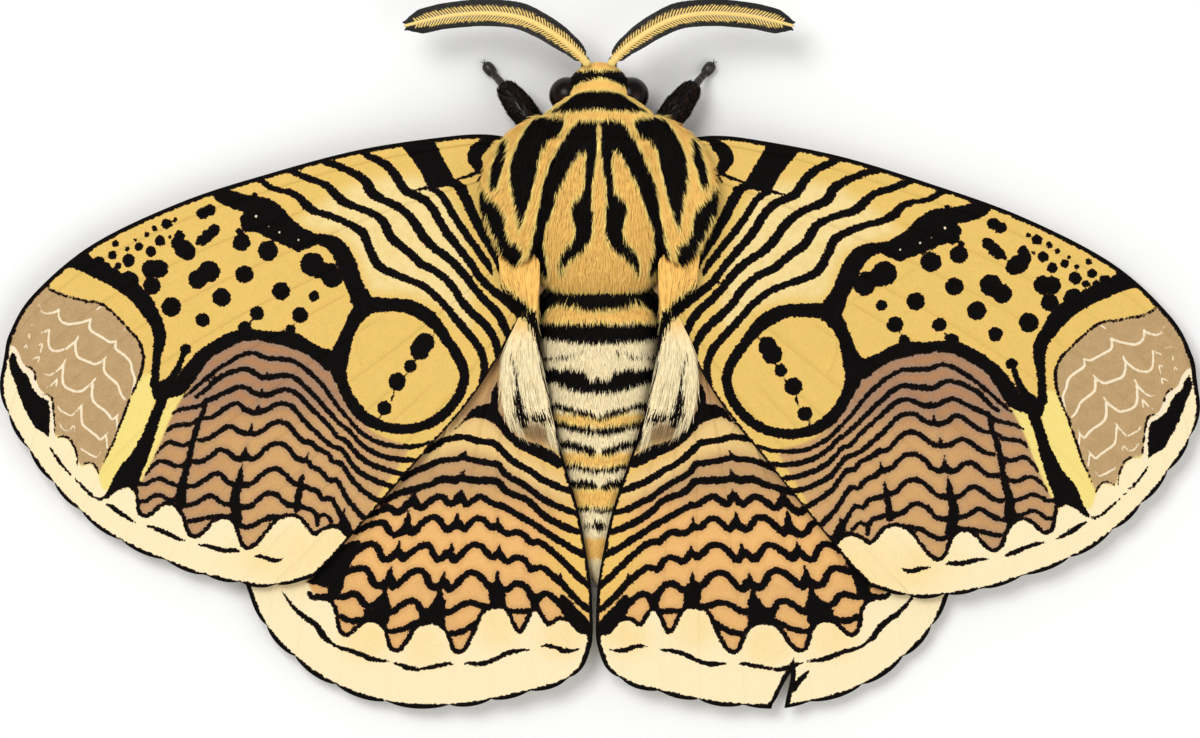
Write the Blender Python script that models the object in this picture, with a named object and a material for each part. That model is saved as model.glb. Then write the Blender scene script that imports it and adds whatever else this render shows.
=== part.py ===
"""An owl moth at rest with its wings spread flat, life size, seen best from above.

The head points along +Y, the wings spread along X and the feet stand on z = 0.
Sizes are in millimetres and become metres as each mesh is made.
Outlines are given for one side, with the first number counted outwards from the body's middle.
"""

import math
import random

import bmesh
import bpy
import numpy as np
from mathutils import Matrix, Vector

MM = 0.001
GAP = 0.32  # kept between neighbouring nodes
SIDES = {"left": -1, "right": 1}

# Wings
WING_THICKNESS = 0.5
COSTA_THICKNESS = 0.85  # along the leading edge
VEIN_HEIGHT = 0.28
VEIN_FOOT = 0.013  # half the width of a vein, as a share of the wing's margin
LOBE_DEPTH = 0.7  # how far the margin dips in at a vein
FOREWING_SWEEP = {"left": 1.3, "right": -1.3}  # degrees, as the moth holds them
FOREWING_HINGE = (13.0, 20.0)
FOREWING_REACH = {"left": -0.6, "right": 0.85}  # how much further than the outline each tip stands out
REACH_SPAN = (30.0, 88.0)  # where along the wing that begins and is complete
ROOF_LOW = 2.6  # height of the spread wings far out, and how they rise to the thorax
ROOF_RISE = 6.9
ROOF_LENGTH = 40.0
HINDWING_DROP = 1.5  # the hindwing lies this far under the forewing
HINDWING_RIDES = (4.0, -2.0)  # y where it begins to ride up on the abdomen, and where it does so in full
HINDWING_SHIFT = -0.7  # where the two hindwings meet, left of the body's middle

FORE_COSTA = [(11.4, 32.2), (17.0, 33.0), (23.5, 32.5), (35.9, 30.4), (49.4, 26.6), (62.9, 22.0),
              (76.4, 15.3), (85.2, 7.6), (88.6, 1.8), (89.4, -2.0)]
FORE_MARGIN = [(89.4, -2.0), (89.9, -6.9), (88.0, -12.3), (81.3, -21.4), (72.6, -28.6),
               (62.1, -33.0), (56.9, -34.5), (48.6, -35.6), (42.0, -34.0)]
FORE_REAR = [(9.6, 10.2), (12.8, 3.2), (18.5, -6.5), (26.0, -15.6), (37.0, -28.6), (42.0, -34.0)]
FORE_ROOT = [(11.4, 32.2), (8.8, 21.0), (9.6, 10.2)]
FORE_VEINS = [0.045, 0.134, 0.228, 0.326, 0.414, 0.533, 0.647, 0.748, 0.83, 0.915]
FORE_STEMS = (0.228, 0.647)  # the two veins that bound the closed cell
FORE_CELL_END = 0.42
FORE_FULL_VEINS = (0.045, 0.915)  # veins that run from root to margin
FORE_ROWS = [0.0, 0.1, 0.2, 0.31, 0.42, 0.53, 0.65, 0.77, 0.88, 0.95, 1.0]

HIND_COSTA = [(9.4, 14.6), (25.0, 7.5), (40.0, -6.0), (50.3, -20.5), (53.5, -33.2)]
HIND_MARGIN = [(53.5, -33.2), (49.9, -41.4), (41.4, -48.9), (31.0, -52.5), (20.1, -52.7),
               (9.0, -50.5), (4.3, -49.0), (1.8, -46.9), (0.45, -43.4), (0.2, -41.0)]
HIND_REAR = [(5.4, 11.6), (8.4, 8.8), (9.2, 5.4), (8.9, 0.7), (7.7, -5.6), (6.0, -12.2), (2.8, -22.2),
             (1.5, -28.2), (0.45, -34.8), (0.2, -41.0)]
HIND_ROOT = [(9.4, 14.6), (7.4, 13.4), (5.4, 11.6)]
HIND_VEINS = [0.121, 0.215, 0.327, 0.449, 0.594, 0.691, 0.779, 0.871]
HIND_STEMS = (0.215, 0.594)
HIND_CELL_END = 0.4
HIND_FULL_VEINS = (0.871,)
HIND_ROWS = [0.0, 0.12, 0.26, 0.4, 0.53, 0.67, 0.81, 0.92, 1.0]
TEAR = [(25.9, -54.0), (28.2, -54.0), (29.3, -46.0)]  # a torn slit in the right hindwing's edge

# Body: each station is (y, half width, half height, height of the middle)
THORAX = [(37.0, 0.0, 0.0, 9.0), (36.0, 4.6, 3.0, 9.1), (34.0, 8.6, 5.4, 9.2), (30.0, 11.3, 6.8, 9.2),
          (24.0, 12.2, 7.3, 9.1), (18.0, 11.6, 7.0, 8.9), (13.0, 10.0, 6.0, 8.3), (10.0, 8.3, 4.7, 7.6),
          (8.6, 5.5, 3.0, 7.2), (8.2, 0.0, 0.0, 7.1)]
COLLAR = [(40.9, 0.0, 0.0, 11.2), (40.3, 2.8, 1.4, 11.1), (38.8, 5.6, 2.6, 10.8), (36.8, 8.1, 3.7, 10.6),
          (34.8, 9.3, 4.6, 10.6), (32.6, 8.6, 4.4, 10.6), (31.4, 0.0, 0.0, 10.6)]
HEAD = [(44.3, 0.0, 0.0, 7.6), (44.0, 1.9, 1.9, 7.6), (42.6, 3.9, 3.5, 7.4), (40.6, 5.3, 4.5, 7.2),
        (38.2, 5.6, 4.7, 7.2), (36.0, 4.6, 4.0, 7.4), (34.6, 0.0, 0.0, 7.6)]
ABDOMEN = [(11.6, 0.0, 0.0, 6.7), (11.0, 5.2, 3.0, 6.7), (9.0, 8.4, 4.7, 6.6), (5.0, 9.2, 5.1, 6.4),
           (-5.0, 8.2, 4.6, 5.8), (-12.0, 7.0, 4.0, 5.1), (-18.0, 5.7, 3.4, 4.5), (-24.0, 4.2, 2.7, 3.9),
           (-29.0, 2.9, 2.0, 3.4), (-33.0, 1.7, 1.4, 3.1), (-36.0, 0.0, 0.0, 3.0)]
SEGMENT_JOINTS = [3.5, -3.0, -9.0, -14.5, -19.5, -24.0, -28.0]
SEGMENT_LIP = 1.4  # length of the slope behind a joint
SEGMENT_DIP = 0.3
ABDOMEN_RINGS = [11.0, 9.6, 7.0, 0.6, -6.2, -12.0, -30.8, -33.4, -35.2]  # beside those at the joints

# Shoulder flap over the forewing's root: y, how far out its middle is, half width, half height, height
TEGULA = [(36.6, 8.6, 0.0, 0.0, 11.3), (35.8, 8.9, 1.5, 0.7, 11.4), (34.4, 9.8, 2.9, 1.1, 11.6),
          (32.4, 11.1, 3.9, 1.3, 11.8), (29.5, 12.4, 4.6, 1.4, 12.0), (26.0, 13.1, 4.9, 1.4, 12.0),
          (22.0, 13.1, 4.8, 1.4, 12.0), (18.5, 12.5, 4.2, 1.3, 12.0), (15.8, 12.0, 3.1, 1.1, 11.9),
          (14.4, 11.8, 1.6, 0.7, 11.8), (13.8, 11.8, 0.0, 0.0, 11.8)]
TEGULA_ROLL = 14.0
TEGULA_SIDES = 16
TEGULA_RINGS = 11

EYE_MIDDLE = (4.75, 39.0, 7.1)
EYE_RADIUS = 2.75

# Antenna: its line from the head to the tip, and how wide its comb stands on each side
ANTENNA_LINE = [(1.5, 43.2, 10.4), (3.6, 45.5, 11.6), (7.2, 48.2, 12.2), (11.2, 50.2, 12.0),
                (16.0, 51.0, 11.4), (21.5, 50.8, 10.5), (26.0, 50.0, 9.7), (29.2, 49.2, 9.2)]
ANTENNA_HALF_WIDTH = [(0.0, 0.8), (0.12, 1.3), (0.35, 1.75), (0.6, 1.9), (0.85, 1.6), (0.96, 1.0),
                      (1.0, 0.4)]
SHAFT_RADIUS = (0.5, 0.28)  # at the root and at the tip
SHAFT_RINGS = 13
COMB_PAIRS = 19
COMB_SPAN = (0.09, 0.965)  # share of the shaft that carries the comb
COMB_SWEEP = 0.75  # how far a tooth leans to the tip, as a share of its reach
TOOTH_ROOT = (0.32, 0.5)  # half a tooth's width, and its thickness, at its root

PALP = [((1.5, 41.6, 4.6), 1.0), ((1.9, 43.4, 5.0), 1.0), ((2.0, 44.3, 6.4), 0.75), ((1.9, 44.3, 7.4), 0.4)]
PROBOSCIS_MIDDLE = (41.9, 2.75)  # y and z of the coil's middle
PROBOSCIS_TURNS = 1.6
PROBOSCIS_RADII = (1.35, 0.25)  # outer turn and tube

# Locks of long hair, each with half its width and half its thickness at its widest
LOCK_RINGS = (0.02, 0.41, 0.8)  # shares of a lock's length
SIDE_LOCK_HALF = (1.05, 0.3)
SIDE_LOCKS = 6  # from the thorax's rear corners back over the hindwings' roots
SIDE_ROOTS = ((7.9, 11.6, 9.1), (5.4, 11.6, 10.8))  # the outermost and the innermost
SIDE_TIPS = ((14.6, -9.0), (5.6, -14.6))
REAR_LOCKS = 8  # along the thorax's rear edge, over the abdomen
REAR_LOCK_SPREAD = 62.0  # degrees to each side of the top
REAR_LOCK_REACH = (12.8, 5.4)  # y of root and tip
REAR_LOCK_LINE = [(0.0, -1.3), (0.3, 0.15), (0.65, 0.35), (1.0, 0.1)]  # share of length, height over the fur
REAR_LOCK_HALF = (1.3, 0.28)
ABDOMEN_LOCK_LIFT = 1.0  # from the abdomen's surface up to a lock's middle
TEGULA_LOCKS = 5  # on the rear end of each shoulder flap
TEGULA_LOCK_ROOTS = (12.0, 14.8, 12.0)  # the middle one's root
TEGULA_LOCK_SPREAD = (2.2, 1.9)  # how far out the others are, and how much further forward
TEGULA_LOCK_LINE = [(0.0, 0.0, 0.0), (-0.3, -2.0, 0.1), (-0.9, -3.7, -0.1), (-1.6, -5.4, -0.5)]
TEGULA_LOCK_HALF = (0.85, 0.28)
SIDE_LOCK_BOW = 0.35  # how far the locks stand out near their roots
WING_LOCK_LIFT = 1.2  # from the hindwing's middle surface up to a lock's middle
SEED = 7

# Legs: hip, knee, ankle and foot, then the thickness of the thigh, shin and foot
LEGS = {
    "fore": ([(5.0, 33.0, 5.6), (9.8, 34.6, 6.4), (14.2, 40.4, 4.6), (16.5, 43.2, 0.55)], (1.5, 2.1, 0.6)),
    "mid": ([(6.6, 24.0, 4.4), (14.4, 25.2, 6.0), (21.6, 25.0, 2.6), (28.4, 24.4, 0.5)], (1.2, 1.25, 0.5)),
    "hind": ([(5.6, 14.0, 4.2), (12.6, 8.6, 5.2), (18.8, 0.2, 2.5), (24.0, -6.2, 0.5)], (1.2, 1.3, 0.5)),
}
FOOT_HALF = (0.85, 1.25, 0.55)  # the last joint of the foot, flat underneath
LIMB_PROFILE = [(-0.02, 0.5), (0.08, 0.85), (0.45, 1.0), (0.9, 0.8), (1.02, 0.5)]  # share, fullness

COLOURS = {
    "wing": (0.78, 0.57, 0.25),
    "hindwing": (0.70, 0.45, 0.22),
    "coat": (0.80, 0.52, 0.18),
    "abdomen": (0.84, 0.66, 0.34),
    "dark": (0.025, 0.02, 0.018),
    "eye": (0.05, 0.03, 0.02),
    "antenna": (0.72, 0.52, 0.26),
}


def clear_scene():
    for obj in list(bpy.data.objects):
        bpy.data.objects.remove(obj, do_unlink=True)


def material(name, roughness=0.85):
    made = bpy.data.materials.get(name)
    if made is None:
        made = bpy.data.materials.new(name)
        made.use_nodes = True
        shader = made.node_tree.nodes["Principled BSDF"]
        shader.inputs["Base Color"].default_value = (*COLOURS[name], 1.0)
        shader.inputs["Roughness"].default_value = roughness
        shader.inputs["Metallic"].default_value = 0.0
    return made


def object_from(name, points, faces, colour, roughness=0.85):
    """A mesh object from points in millimetres."""
    mesh = bpy.data.meshes.new(name)
    mesh.from_pydata([tuple(c * MM for c in p) for p in points], [], faces)
    mesh.materials.append(material(colour, roughness))
    obj = bpy.data.objects.new(name, mesh)
    bpy.context.scene.collection.objects.link(obj)
    face_outwards(obj)
    return obj


def face_outwards(obj):
    shape = bmesh.new()
    shape.from_mesh(obj.data)
    bmesh.ops.recalc_face_normals(shape, faces=shape.faces)
    shape.to_mesh(obj.data)
    shape.free()


def smooth_path(points, steps=24):
    """Points on a Catmull-Rom curve through the given ones, and each one's share of the length."""
    given = np.array(points, float)
    ends = np.vstack([2 * given[0] - given[1], given, 2 * given[-1] - given[-2]])
    found = []
    for a, b, c, d in zip(ends[:-3], ends[1:-2], ends[2:-1], ends[3:]):
        for t in np.linspace(0.0, 1.0, steps, endpoint=False):
            found.append(0.5 * (2 * b + (c - a) * t + (2 * a - 5 * b + 4 * c - d) * t ** 2
                                + (3 * b - a - 3 * c + d) * t ** 3))
    found.append(given[-1])
    found = np.array(found)
    along = np.concatenate([[0.0], np.cumsum(np.linalg.norm(np.diff(found, axis=0), axis=1))])
    return found, along / along[-1]


def at(path, share):
    """The point at a share of a smooth path's length."""
    points, along = path
    return np.array([np.interp(share, along, points[:, k]) for k in range(points.shape[1])])


def smoothstep(low, high, value):
    t = min(1.0, max(0.0, (value - low) / (high - low)))
    return t * t * (3 - 2 * t)


def from_table(table, key):
    """The values at a key, read along a table whose first column is the key."""
    rows = np.array(sorted(table), float)
    return [float(np.interp(key, rows[:, 0], rows[:, k])) for k in range(1, rows.shape[1])]


def body_at(stations, y):
    """Half width, half height and height of a body form at y, on the smooth curve through its stations."""
    path = smooth_path(stations, 12)[0]
    return [float(np.interp(-y, -path[:, 0], path[:, k])) for k in (1, 2, 3)]


def loft(rings, start=None, end=None):
    """Points and faces of a closed form through rings of equal count, with a point at each end."""
    sides = len(rings[0])
    points = [tuple(p) for ring in rings for p in ring]
    start = np.mean(rings[0], axis=0) if start is None else start
    end = np.mean(rings[-1], axis=0) if end is None else end
    points += [tuple(start), tuple(end)]
    first, last = len(points) - 2, len(points) - 1
    faces = []
    for r in range(len(rings) - 1):
        for k in range(sides):
            a, b = r * sides + k, r * sides + (k + 1) % sides
            faces += [(a, b, b + sides), (a, b + sides, a + sides)]
    base = (len(rings) - 1) * sides
    for k in range(sides):
        faces += [(first, (k + 1) % sides, k), (last, base + k, base + (k + 1) % sides)]
    return points, faces


def body_ring(y, half_width, half_height, z, sides):
    """One oval ring of a body form."""
    angles = [math.tau * k / sides for k in range(sides)]
    return [(half_width * math.cos(a), y, z + half_height * math.sin(a)) for a in angles]


def body_form(name, stations, colour, sides=24, rings=12):
    """A closed form along Y through stations of half width, half height and height."""
    path = smooth_path(stations, 12)
    made = []
    for share in np.linspace(0.0, 1.0, rings + 2)[1:-1]:
        y, half_width, half_height, z = at(path, share)
        made.append(body_ring(y, half_width, half_height, z, sides))
    first, last = stations[0], stations[-1]
    points, faces = loft(made, (0.0, first[0], first[3]), (0.0, last[0], last[3]))
    return object_from(name, points, faces, colour)


def tube(line, radii, sides=8, flat=1.0):
    """Rings of a tube along a line of points. Flat squeezes it across its width, seen from above."""
    line = np.array(line, float)
    rings = []
    for i, point in enumerate(line):
        ahead = line[min(i + 1, len(line) - 1)] - line[max(i - 1, 0)]
        ahead /= np.linalg.norm(ahead)
        side = np.cross(ahead, (0.0, 0.0, 1.0))
        side /= np.linalg.norm(side)
        above = np.cross(side, ahead)
        radius = radii[i]
        rings.append([point + radius * (math.cos(math.tau * k / sides) * side
                                        + math.sin(math.tau * k / sides) * flat * above)
                      for k in range(sides)])
    return rings


def mirrored(points, side):
    """Points given outwards from the middle, put on their own side."""
    return [(p[0] * side, p[1], p[2]) for p in points]


def applied(obj):
    """The object with its modifiers applied."""
    graph = bpy.context.evaluated_depsgraph_get()
    mesh = bpy.data.meshes.new_from_object(obj.evaluated_get(graph))
    obj.modifiers.clear()
    old = obj.data
    obj.data = mesh
    bpy.data.meshes.remove(old)
    return obj


def keep_largest(obj):
    """Drops every closed surface but the largest one."""
    shape = bmesh.new()
    shape.from_mesh(obj.data)
    islands, left = [], set(shape.faces)
    while left:
        island, edge = set(), [left.pop()]
        while edge:
            face = edge.pop()
            island.add(face)
            near = {other for e in face.edges for other in e.link_faces} & left
            left -= near
            edge.extend(near)
        islands.append(island)
    islands.sort(key=lambda faces: sum(f.calc_area() for f in faces))
    loose = [f for island in islands[:-1] for f in island]
    bmesh.ops.delete(shape, geom=loose, context="FACES")
    shape.to_mesh(obj.data)
    shape.free()
    return obj


def grown(obj, by):
    """A copy of a closed form with its surface moved out, for cutting."""
    copy = obj.copy()
    copy.data = obj.data.copy()
    bpy.context.scene.collection.objects.link(copy)
    shape = bmesh.new()
    shape.from_mesh(copy.data)
    shape.normal_update()
    moves = {v: v.normal * by * MM for v in shape.verts}
    for vertex, move in moves.items():
        vertex.co += move
    shape.to_mesh(copy.data)
    shape.free()
    copy.hide_render = True
    copy.display_type = "WIRE"
    return copy


def cut_clear(obj, *others, solver="EXACT"):
    """Cuts the object back from its neighbours by the gap."""
    for other in others:
        cutter = grown(other, GAP)
        cut(obj, cutter, solver)
        bpy.data.objects.remove(cutter, do_unlink=True)
    return keep_largest(obj)


def cut(obj, cutter, solver="EXACT"):
    difference = obj.modifiers.new("Cut", "BOOLEAN")
    difference.operation = "DIFFERENCE"
    difference.solver = solver
    difference.object = cutter
    applied(obj)


def fuse(obj, pieces):
    """Joins the pieces to the object in one union and keeps the one closed surface."""
    group = bpy.data.collections.new(obj.name + "_pieces")
    bpy.context.scene.collection.children.link(group)
    for piece in pieces:
        for holder in list(piece.users_collection):
            holder.objects.unlink(piece)
        group.objects.link(piece)
    union = obj.modifiers.new("Join", "BOOLEAN")
    union.operation = "UNION"
    union.solver = "EXACT"
    union.operand_type = "COLLECTION"
    union.collection = group
    applied(obj)
    for piece in pieces:
        bpy.data.objects.remove(piece, do_unlink=True)
    bpy.data.collections.remove(group)
    return keep_largest(obj)


def shaded_smooth(obj, angle=40.0):
    obj.data.shade_smooth()
    obj.data.set_sharp_from_angle(angle=math.radians(angle))
    return obj


# Heights of the spread wings


def roof(x, y):
    """Height of the forewing's middle surface: high at the thorax, low at the margins."""
    fall = 1.0 - 0.5 * smoothstep(-6.0, -52.0, y) if y < -6.0 else 1.0
    return ROOF_LOW + ROOF_RISE * math.exp(-max(0.0, x - 10.0) / ROOF_LENGTH) * fall


def abdomen_top(x, y):
    """Height of the abdomen's upper side, falling away steeply beside it."""
    half_width, half_height, z = body_at(ABDOMEN, min(y, 9.0))
    if y < ABDOMEN[-1][0] or half_width <= 0.0:
        return 0.0
    inside = max(0.0, 1.0 - (x / half_width) ** 2)
    return z + half_height * math.sqrt(inside) - 2.0 * max(0.0, x - half_width)


def forewing_height(x, y):
    arch = 0.5 * smoothstep(34.0, 20.0, y)
    return roof(x, y) - 0.5 + arch


def hindwing_height(x, y):
    """The hindwing lies under the forewing and, behind its root, rides up on the abdomen."""
    low = roof(x, y) - HINDWING_DROP
    lift = abdomen_top(x, y) + WING_THICKNESS / 2 + GAP + 0.25 - low
    return low + lift * smoothstep(-0.8, 0.8, lift) * smoothstep(*HINDWING_RIDES, y)


def columns_of(veins):
    """The lines of a wing's grid from front to rear: each vein's crest and feet, and one between veins."""
    found = [0.0]
    for k, vein in enumerate(veins):
        before = found[-1]
        found.append((before + vein - VEIN_FOOT) / 2)
        found += [vein - VEIN_FOOT, vein, vein + VEIN_FOOT]
        if k == len(veins) - 1:
            found.append((vein + VEIN_FOOT + 1.0) / 2)
    return found + [1.0]


def vein_relief(u, v, wing):
    """How far a vein stands up at this place of the grid."""
    cell_end = wing["cell_end"]
    if any(abs(v - vein) < 1e-6 for vein in wing["veins"]):
        nearest = min(wing["veins"], key=lambda vein: abs(vein - v))
        starts_at_root = nearest in wing["stems"] or nearest in wing["full"]
        fade = 1.0 - 0.55 * smoothstep(0.6, 1.0, u)
        begin = 1.0 if starts_at_root else smoothstep(cell_end - 0.1, cell_end, u)
        return VEIN_HEIGHT * begin * fade
    first, last = wing["stems"]
    if abs(u - cell_end) < 1e-6 and first < v < last:
        return VEIN_HEIGHT * 0.8
    return 0.0


def wing_plan(wing, u, v):
    """Place in plan of a point of the grid: u from root to margin, v from front edge to rear edge."""
    front, rear, root, outer = wing["paths"]
    front_p, rear_p, root_p, outer_p = at(front, u), at(rear, u), at(root, v), at(outer, v)
    corners = ((1 - u) * (1 - v) * at(root, 0.0) + (1 - u) * v * at(root, 1.0)
               + u * (1 - v) * at(outer, 0.0) + u * v * at(outer, 1.0))
    place = (1 - v) * front_p + v * rear_p + (1 - u) * root_p + u * outer_p - corners
    ahead, behind = at(outer, min(1.0, v + 0.01)), at(outer, max(0.0, v - 0.01))
    outward = np.array([-(ahead - behind)[1], (ahead - behind)[0]])
    outward /= np.linalg.norm(outward)
    inner = at(root, 0.5)
    if np.dot(outward, outer_p - inner) < 0:
        outward = -outward
    return place - outward * margin_dip(wing, v) * smoothstep(0.85, 1.0, u)


def margin_dip(wing, v):
    """The margin dips in at the veins and bulges between them."""
    stops = [0.0] + [vein for vein in wing["veins"] if vein > 0.08] + [1.0]
    for low, high in zip(stops[:-1], stops[1:]):
        if low <= v <= high:
            fraction = (v - low) / (high - low)
            bulge = math.sqrt(max(0.0, math.sin(math.pi * fraction)))
            edge = 0.0 if (low == 0.0 and fraction < 0.5) or (high == 1.0 and fraction > 0.5) else 1.0
            return LOBE_DEPTH * (1.0 - bulge) * edge
    return 0.0


def swept(x, y, degrees):
    """A place in plan turned about the forewing's hinge."""
    turn = math.radians(degrees)
    px, py = x - FOREWING_HINGE[0], y - FOREWING_HINGE[1]
    return (FOREWING_HINGE[0] + px * math.cos(turn) - py * math.sin(turn),
            FOREWING_HINGE[1] + px * math.sin(turn) + py * math.cos(turn))


def reached(x, y, label):
    """A place in plan on the forewing, drawn out or in towards its tip."""
    return x + FOREWING_REACH[label] * smoothstep(*REACH_SPAN, x), y


def shifted(x, y, side):
    """A place in plan on the hindwing, moved with the line where the two of them meet."""
    inner = 1.0 - smoothstep(8.0, 40.0, x)
    return x + HINDWING_SHIFT * side * inner * smoothstep(5.0, -36.0, y)


def wing_object(name, wing, height, label, colour):
    """One wing as a thin closed sheet, with both faces split into triangles alike."""
    side = SIDES[label]
    wing["paths"] = [smooth_path(wing[k]) for k in ("costa", "rear", "root", "margin")]
    columns = columns_of(wing["veins"])
    rows = wing["rows"]
    top, bottom = [], []
    for u in rows:
        for v in columns:
            x, y = wing_plan(wing, u, v)
            z = height(x, y)
            thick = WING_THICKNESS + (COSTA_THICKNESS - WING_THICKNESS) * (1 - smoothstep(0.0, 0.1, v))
            if wing is FOREWING:
                x, y = swept(*reached(x, y, label), FOREWING_SWEEP[label])
            else:
                x = shifted(x, y, side)
            top.append((x, y, z + thick / 2 + vein_relief(u, v, wing)))
            bottom.append((x, y, z - thick / 2))
    across, count = len(columns), len(top)
    faces = []
    for r in range(len(rows) - 1):
        for c in range(across - 1):
            a, b = r * across + c, r * across + c + 1
            d, e = a + across, b + across
            faces += [(a, b, e), (a, e, d)]
            faces += [(a + count, e + count, b + count), (a + count, d + count, e + count)]
    rim = [r * across for r in range(len(rows))]
    rim += [(len(rows) - 1) * across + c for c in range(1, across)]
    rim += [r * across + across - 1 for r in range(len(rows) - 2, -1, -1)]
    rim += [c for c in range(across - 2, 0, -1)]
    for a, b in zip(rim, rim[1:] + rim[:1]):
        faces += [(a, b, b + count), (a, b + count, a + count)]
    return object_from(name, mirrored(top + bottom, side), faces, colour)


FOREWING = {"costa": FORE_COSTA, "rear": FORE_REAR, "root": FORE_ROOT, "margin": FORE_MARGIN,
            "veins": FORE_VEINS, "stems": FORE_STEMS, "full": FORE_FULL_VEINS, "cell_end": FORE_CELL_END,
            "rows": FORE_ROWS}
HINDWING = {"costa": HIND_COSTA, "rear": HIND_REAR, "root": HIND_ROOT, "margin": HIND_MARGIN,
            "veins": HIND_VEINS, "stems": HIND_STEMS, "full": HIND_FULL_VEINS, "cell_end": HIND_CELL_END,
            "rows": HIND_ROWS}


def make_tear(obj):
    """A narrow slit torn into the margin."""
    rings = [[(x, y, z) for x, y in TEAR] for z in (0.0, 12.0)]
    points, faces = loft(rings)
    cutter = object_from("tear_cutter", points, faces, "dark")
    cut(obj, cutter)
    bpy.data.objects.remove(cutter, do_unlink=True)


# Body


def make_abdomen(name="abdomen"):
    """A form that narrows a little at each joint between its segments."""
    ys = {y for joint in SEGMENT_JOINTS for y in (joint, joint - SEGMENT_LIP)} | set(ABDOMEN_RINGS)
    rings = []
    for y in sorted(ys, reverse=True):
        half_width, half_height, z = body_at(ABDOMEN, y)
        from_joint = min(abs(y - joint) for joint in SEGMENT_JOINTS)
        dip = SEGMENT_DIP * (1.0 - smoothstep(0.0, 2.2, from_joint))
        rings.append(body_ring(y, half_width - dip, half_height - dip, z, 20))
    first, last = ABDOMEN[0], ABDOMEN[-1]
    points, faces = loft(rings, (0.0, first[0], first[3]), (0.0, last[0], last[3]))
    return object_from(name, points, faces, "abdomen")


def ellipsoid(name, middle, half, colour, turn=None, across=20, rings=10):
    """A rounded form from a sphere, in millimetres."""
    shape = bmesh.new()
    bmesh.ops.create_uvsphere(shape, u_segments=across, v_segments=rings, radius=1.0)
    placed = Matrix.Scale(MM, 4) @ Matrix.Translation(Vector(middle))
    stretched = (turn or Matrix.Identity(4)) @ Matrix.Diagonal((*half, 1.0))
    bmesh.ops.transform(shape, matrix=placed @ stretched, verts=shape.verts)
    bmesh.ops.triangulate(shape, faces=shape.faces)
    mesh = bpy.data.meshes.new(name)
    shape.to_mesh(mesh)
    shape.free()
    mesh.materials.append(material(colour))
    obj = bpy.data.objects.new(name, mesh)
    bpy.context.scene.collection.objects.link(obj)
    return obj


def lock(path_points, half, lie=(0.0, 0.0, 1.0)):
    """A flat, tapered lock of hair along a curve, with its flat side up."""
    path = smooth_path(path_points, 8)
    made = []
    for share in LOCK_RINGS:
        point = at(path, share)
        ahead = at(path, min(1.0, share + 0.06)) - at(path, max(0.0, share - 0.06))
        side = np.cross(ahead, lie)
        side /= np.linalg.norm(side)
        above = np.cross(side, ahead)
        above /= np.linalg.norm(above)
        wide = half[0] * (0.75 + 0.25 * math.sin(math.pi * min(1.0, 1.6 * share))) * (1.0 - share ** 2.2)
        thick = half[1] * (1.0 - 0.35 * share)
        made.append([point + side * wide, point + above * thick, point - side * wide, point - above * thick])
    points, faces = loft(made, path_points[0], path_points[-1])
    return object_from("lock", points, faces, "coat")


def coat_rest(x, y):
    """Height at which a lock's middle clears the abdomen and, where it spreads that far, the hindwing."""
    rest = abdomen_top(x, y) + ABDOMEN_LOCK_LIFT
    inner_edge = float(np.interp(-y, [-p[1] for p in HIND_REAR], [p[0] for p in HIND_REAR]))
    if x > inner_edge - SIDE_LOCK_HALF[0]:
        rest = max(rest, hindwing_height(x, y) + WING_LOCK_LIFT)
    return rest


def side_locks(side, chance):
    """The long hair of the thorax's rear corner, fanned over the hindwing's root."""
    made = []
    for k in range(SIDE_LOCKS):
        t = k / (SIDE_LOCKS - 1)
        root = np.array(SIDE_ROOTS[0]) * (1 - t) + np.array(SIDE_ROOTS[1]) * t
        tip = np.array(SIDE_TIPS[0]) * (1 - t) + np.array(SIDE_TIPS[1]) * t
        tip = tip + (0.0, chance.uniform(-1.2, 1.2))
        line = [tuple(root)]
        for share in (0.14, 0.3, 0.5, 0.75, 1.0):
            fanned = share ** (1.35 - 0.5 * t)
            x = root[0] + (tip[0] - root[0]) * fanned + SIDE_LOCK_BOW * (1 - share)
            y = root[1] + (tip[1] - root[1]) * share
            line.append((x, y, coat_rest(x, y) + 0.25 * (k % 2)))
        lie = (0.5 * t * side, 0.0, 1.0)
        half = (SIDE_LOCK_HALF[0] * chance.uniform(0.85, 1.1), SIDE_LOCK_HALF[1])
        made.append(lock(mirrored(line, side), half, lie))
    return made


def rear_locks(chance):
    """Hair that lies from the thorax's rear edge back over the abdomen."""
    made = []
    for k in range(REAR_LOCKS):
        angle = math.radians(REAR_LOCK_SPREAD) * (2 * k / (REAR_LOCKS - 1) - 1)
        line = []
        root_y, tip_y = REAR_LOCK_REACH[0], REAR_LOCK_REACH[1] - chance.uniform(0.0, 1.2)
        for share, lift in REAR_LOCK_LINE:
            y = root_y + (tip_y - root_y) * share
            half_width, half_height, z = body_at(ABDOMEN, min(y, 9.0))
            thorax_width, thorax_height, thorax_z = body_at(THORAX, max(y, 8.8))
            wide = max(half_width + ABDOMEN_LOCK_LIFT, thorax_width)
            high = max(z + half_height + ABDOMEN_LOCK_LIFT, thorax_z + thorax_height)
            line.append(((wide + lift) * math.sin(angle), y, z + (high - z + lift) * math.cos(angle)))
        made.append(lock(line, REAR_LOCK_HALF, (math.sin(angle), 0.0, math.cos(angle))))
    return made


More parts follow.
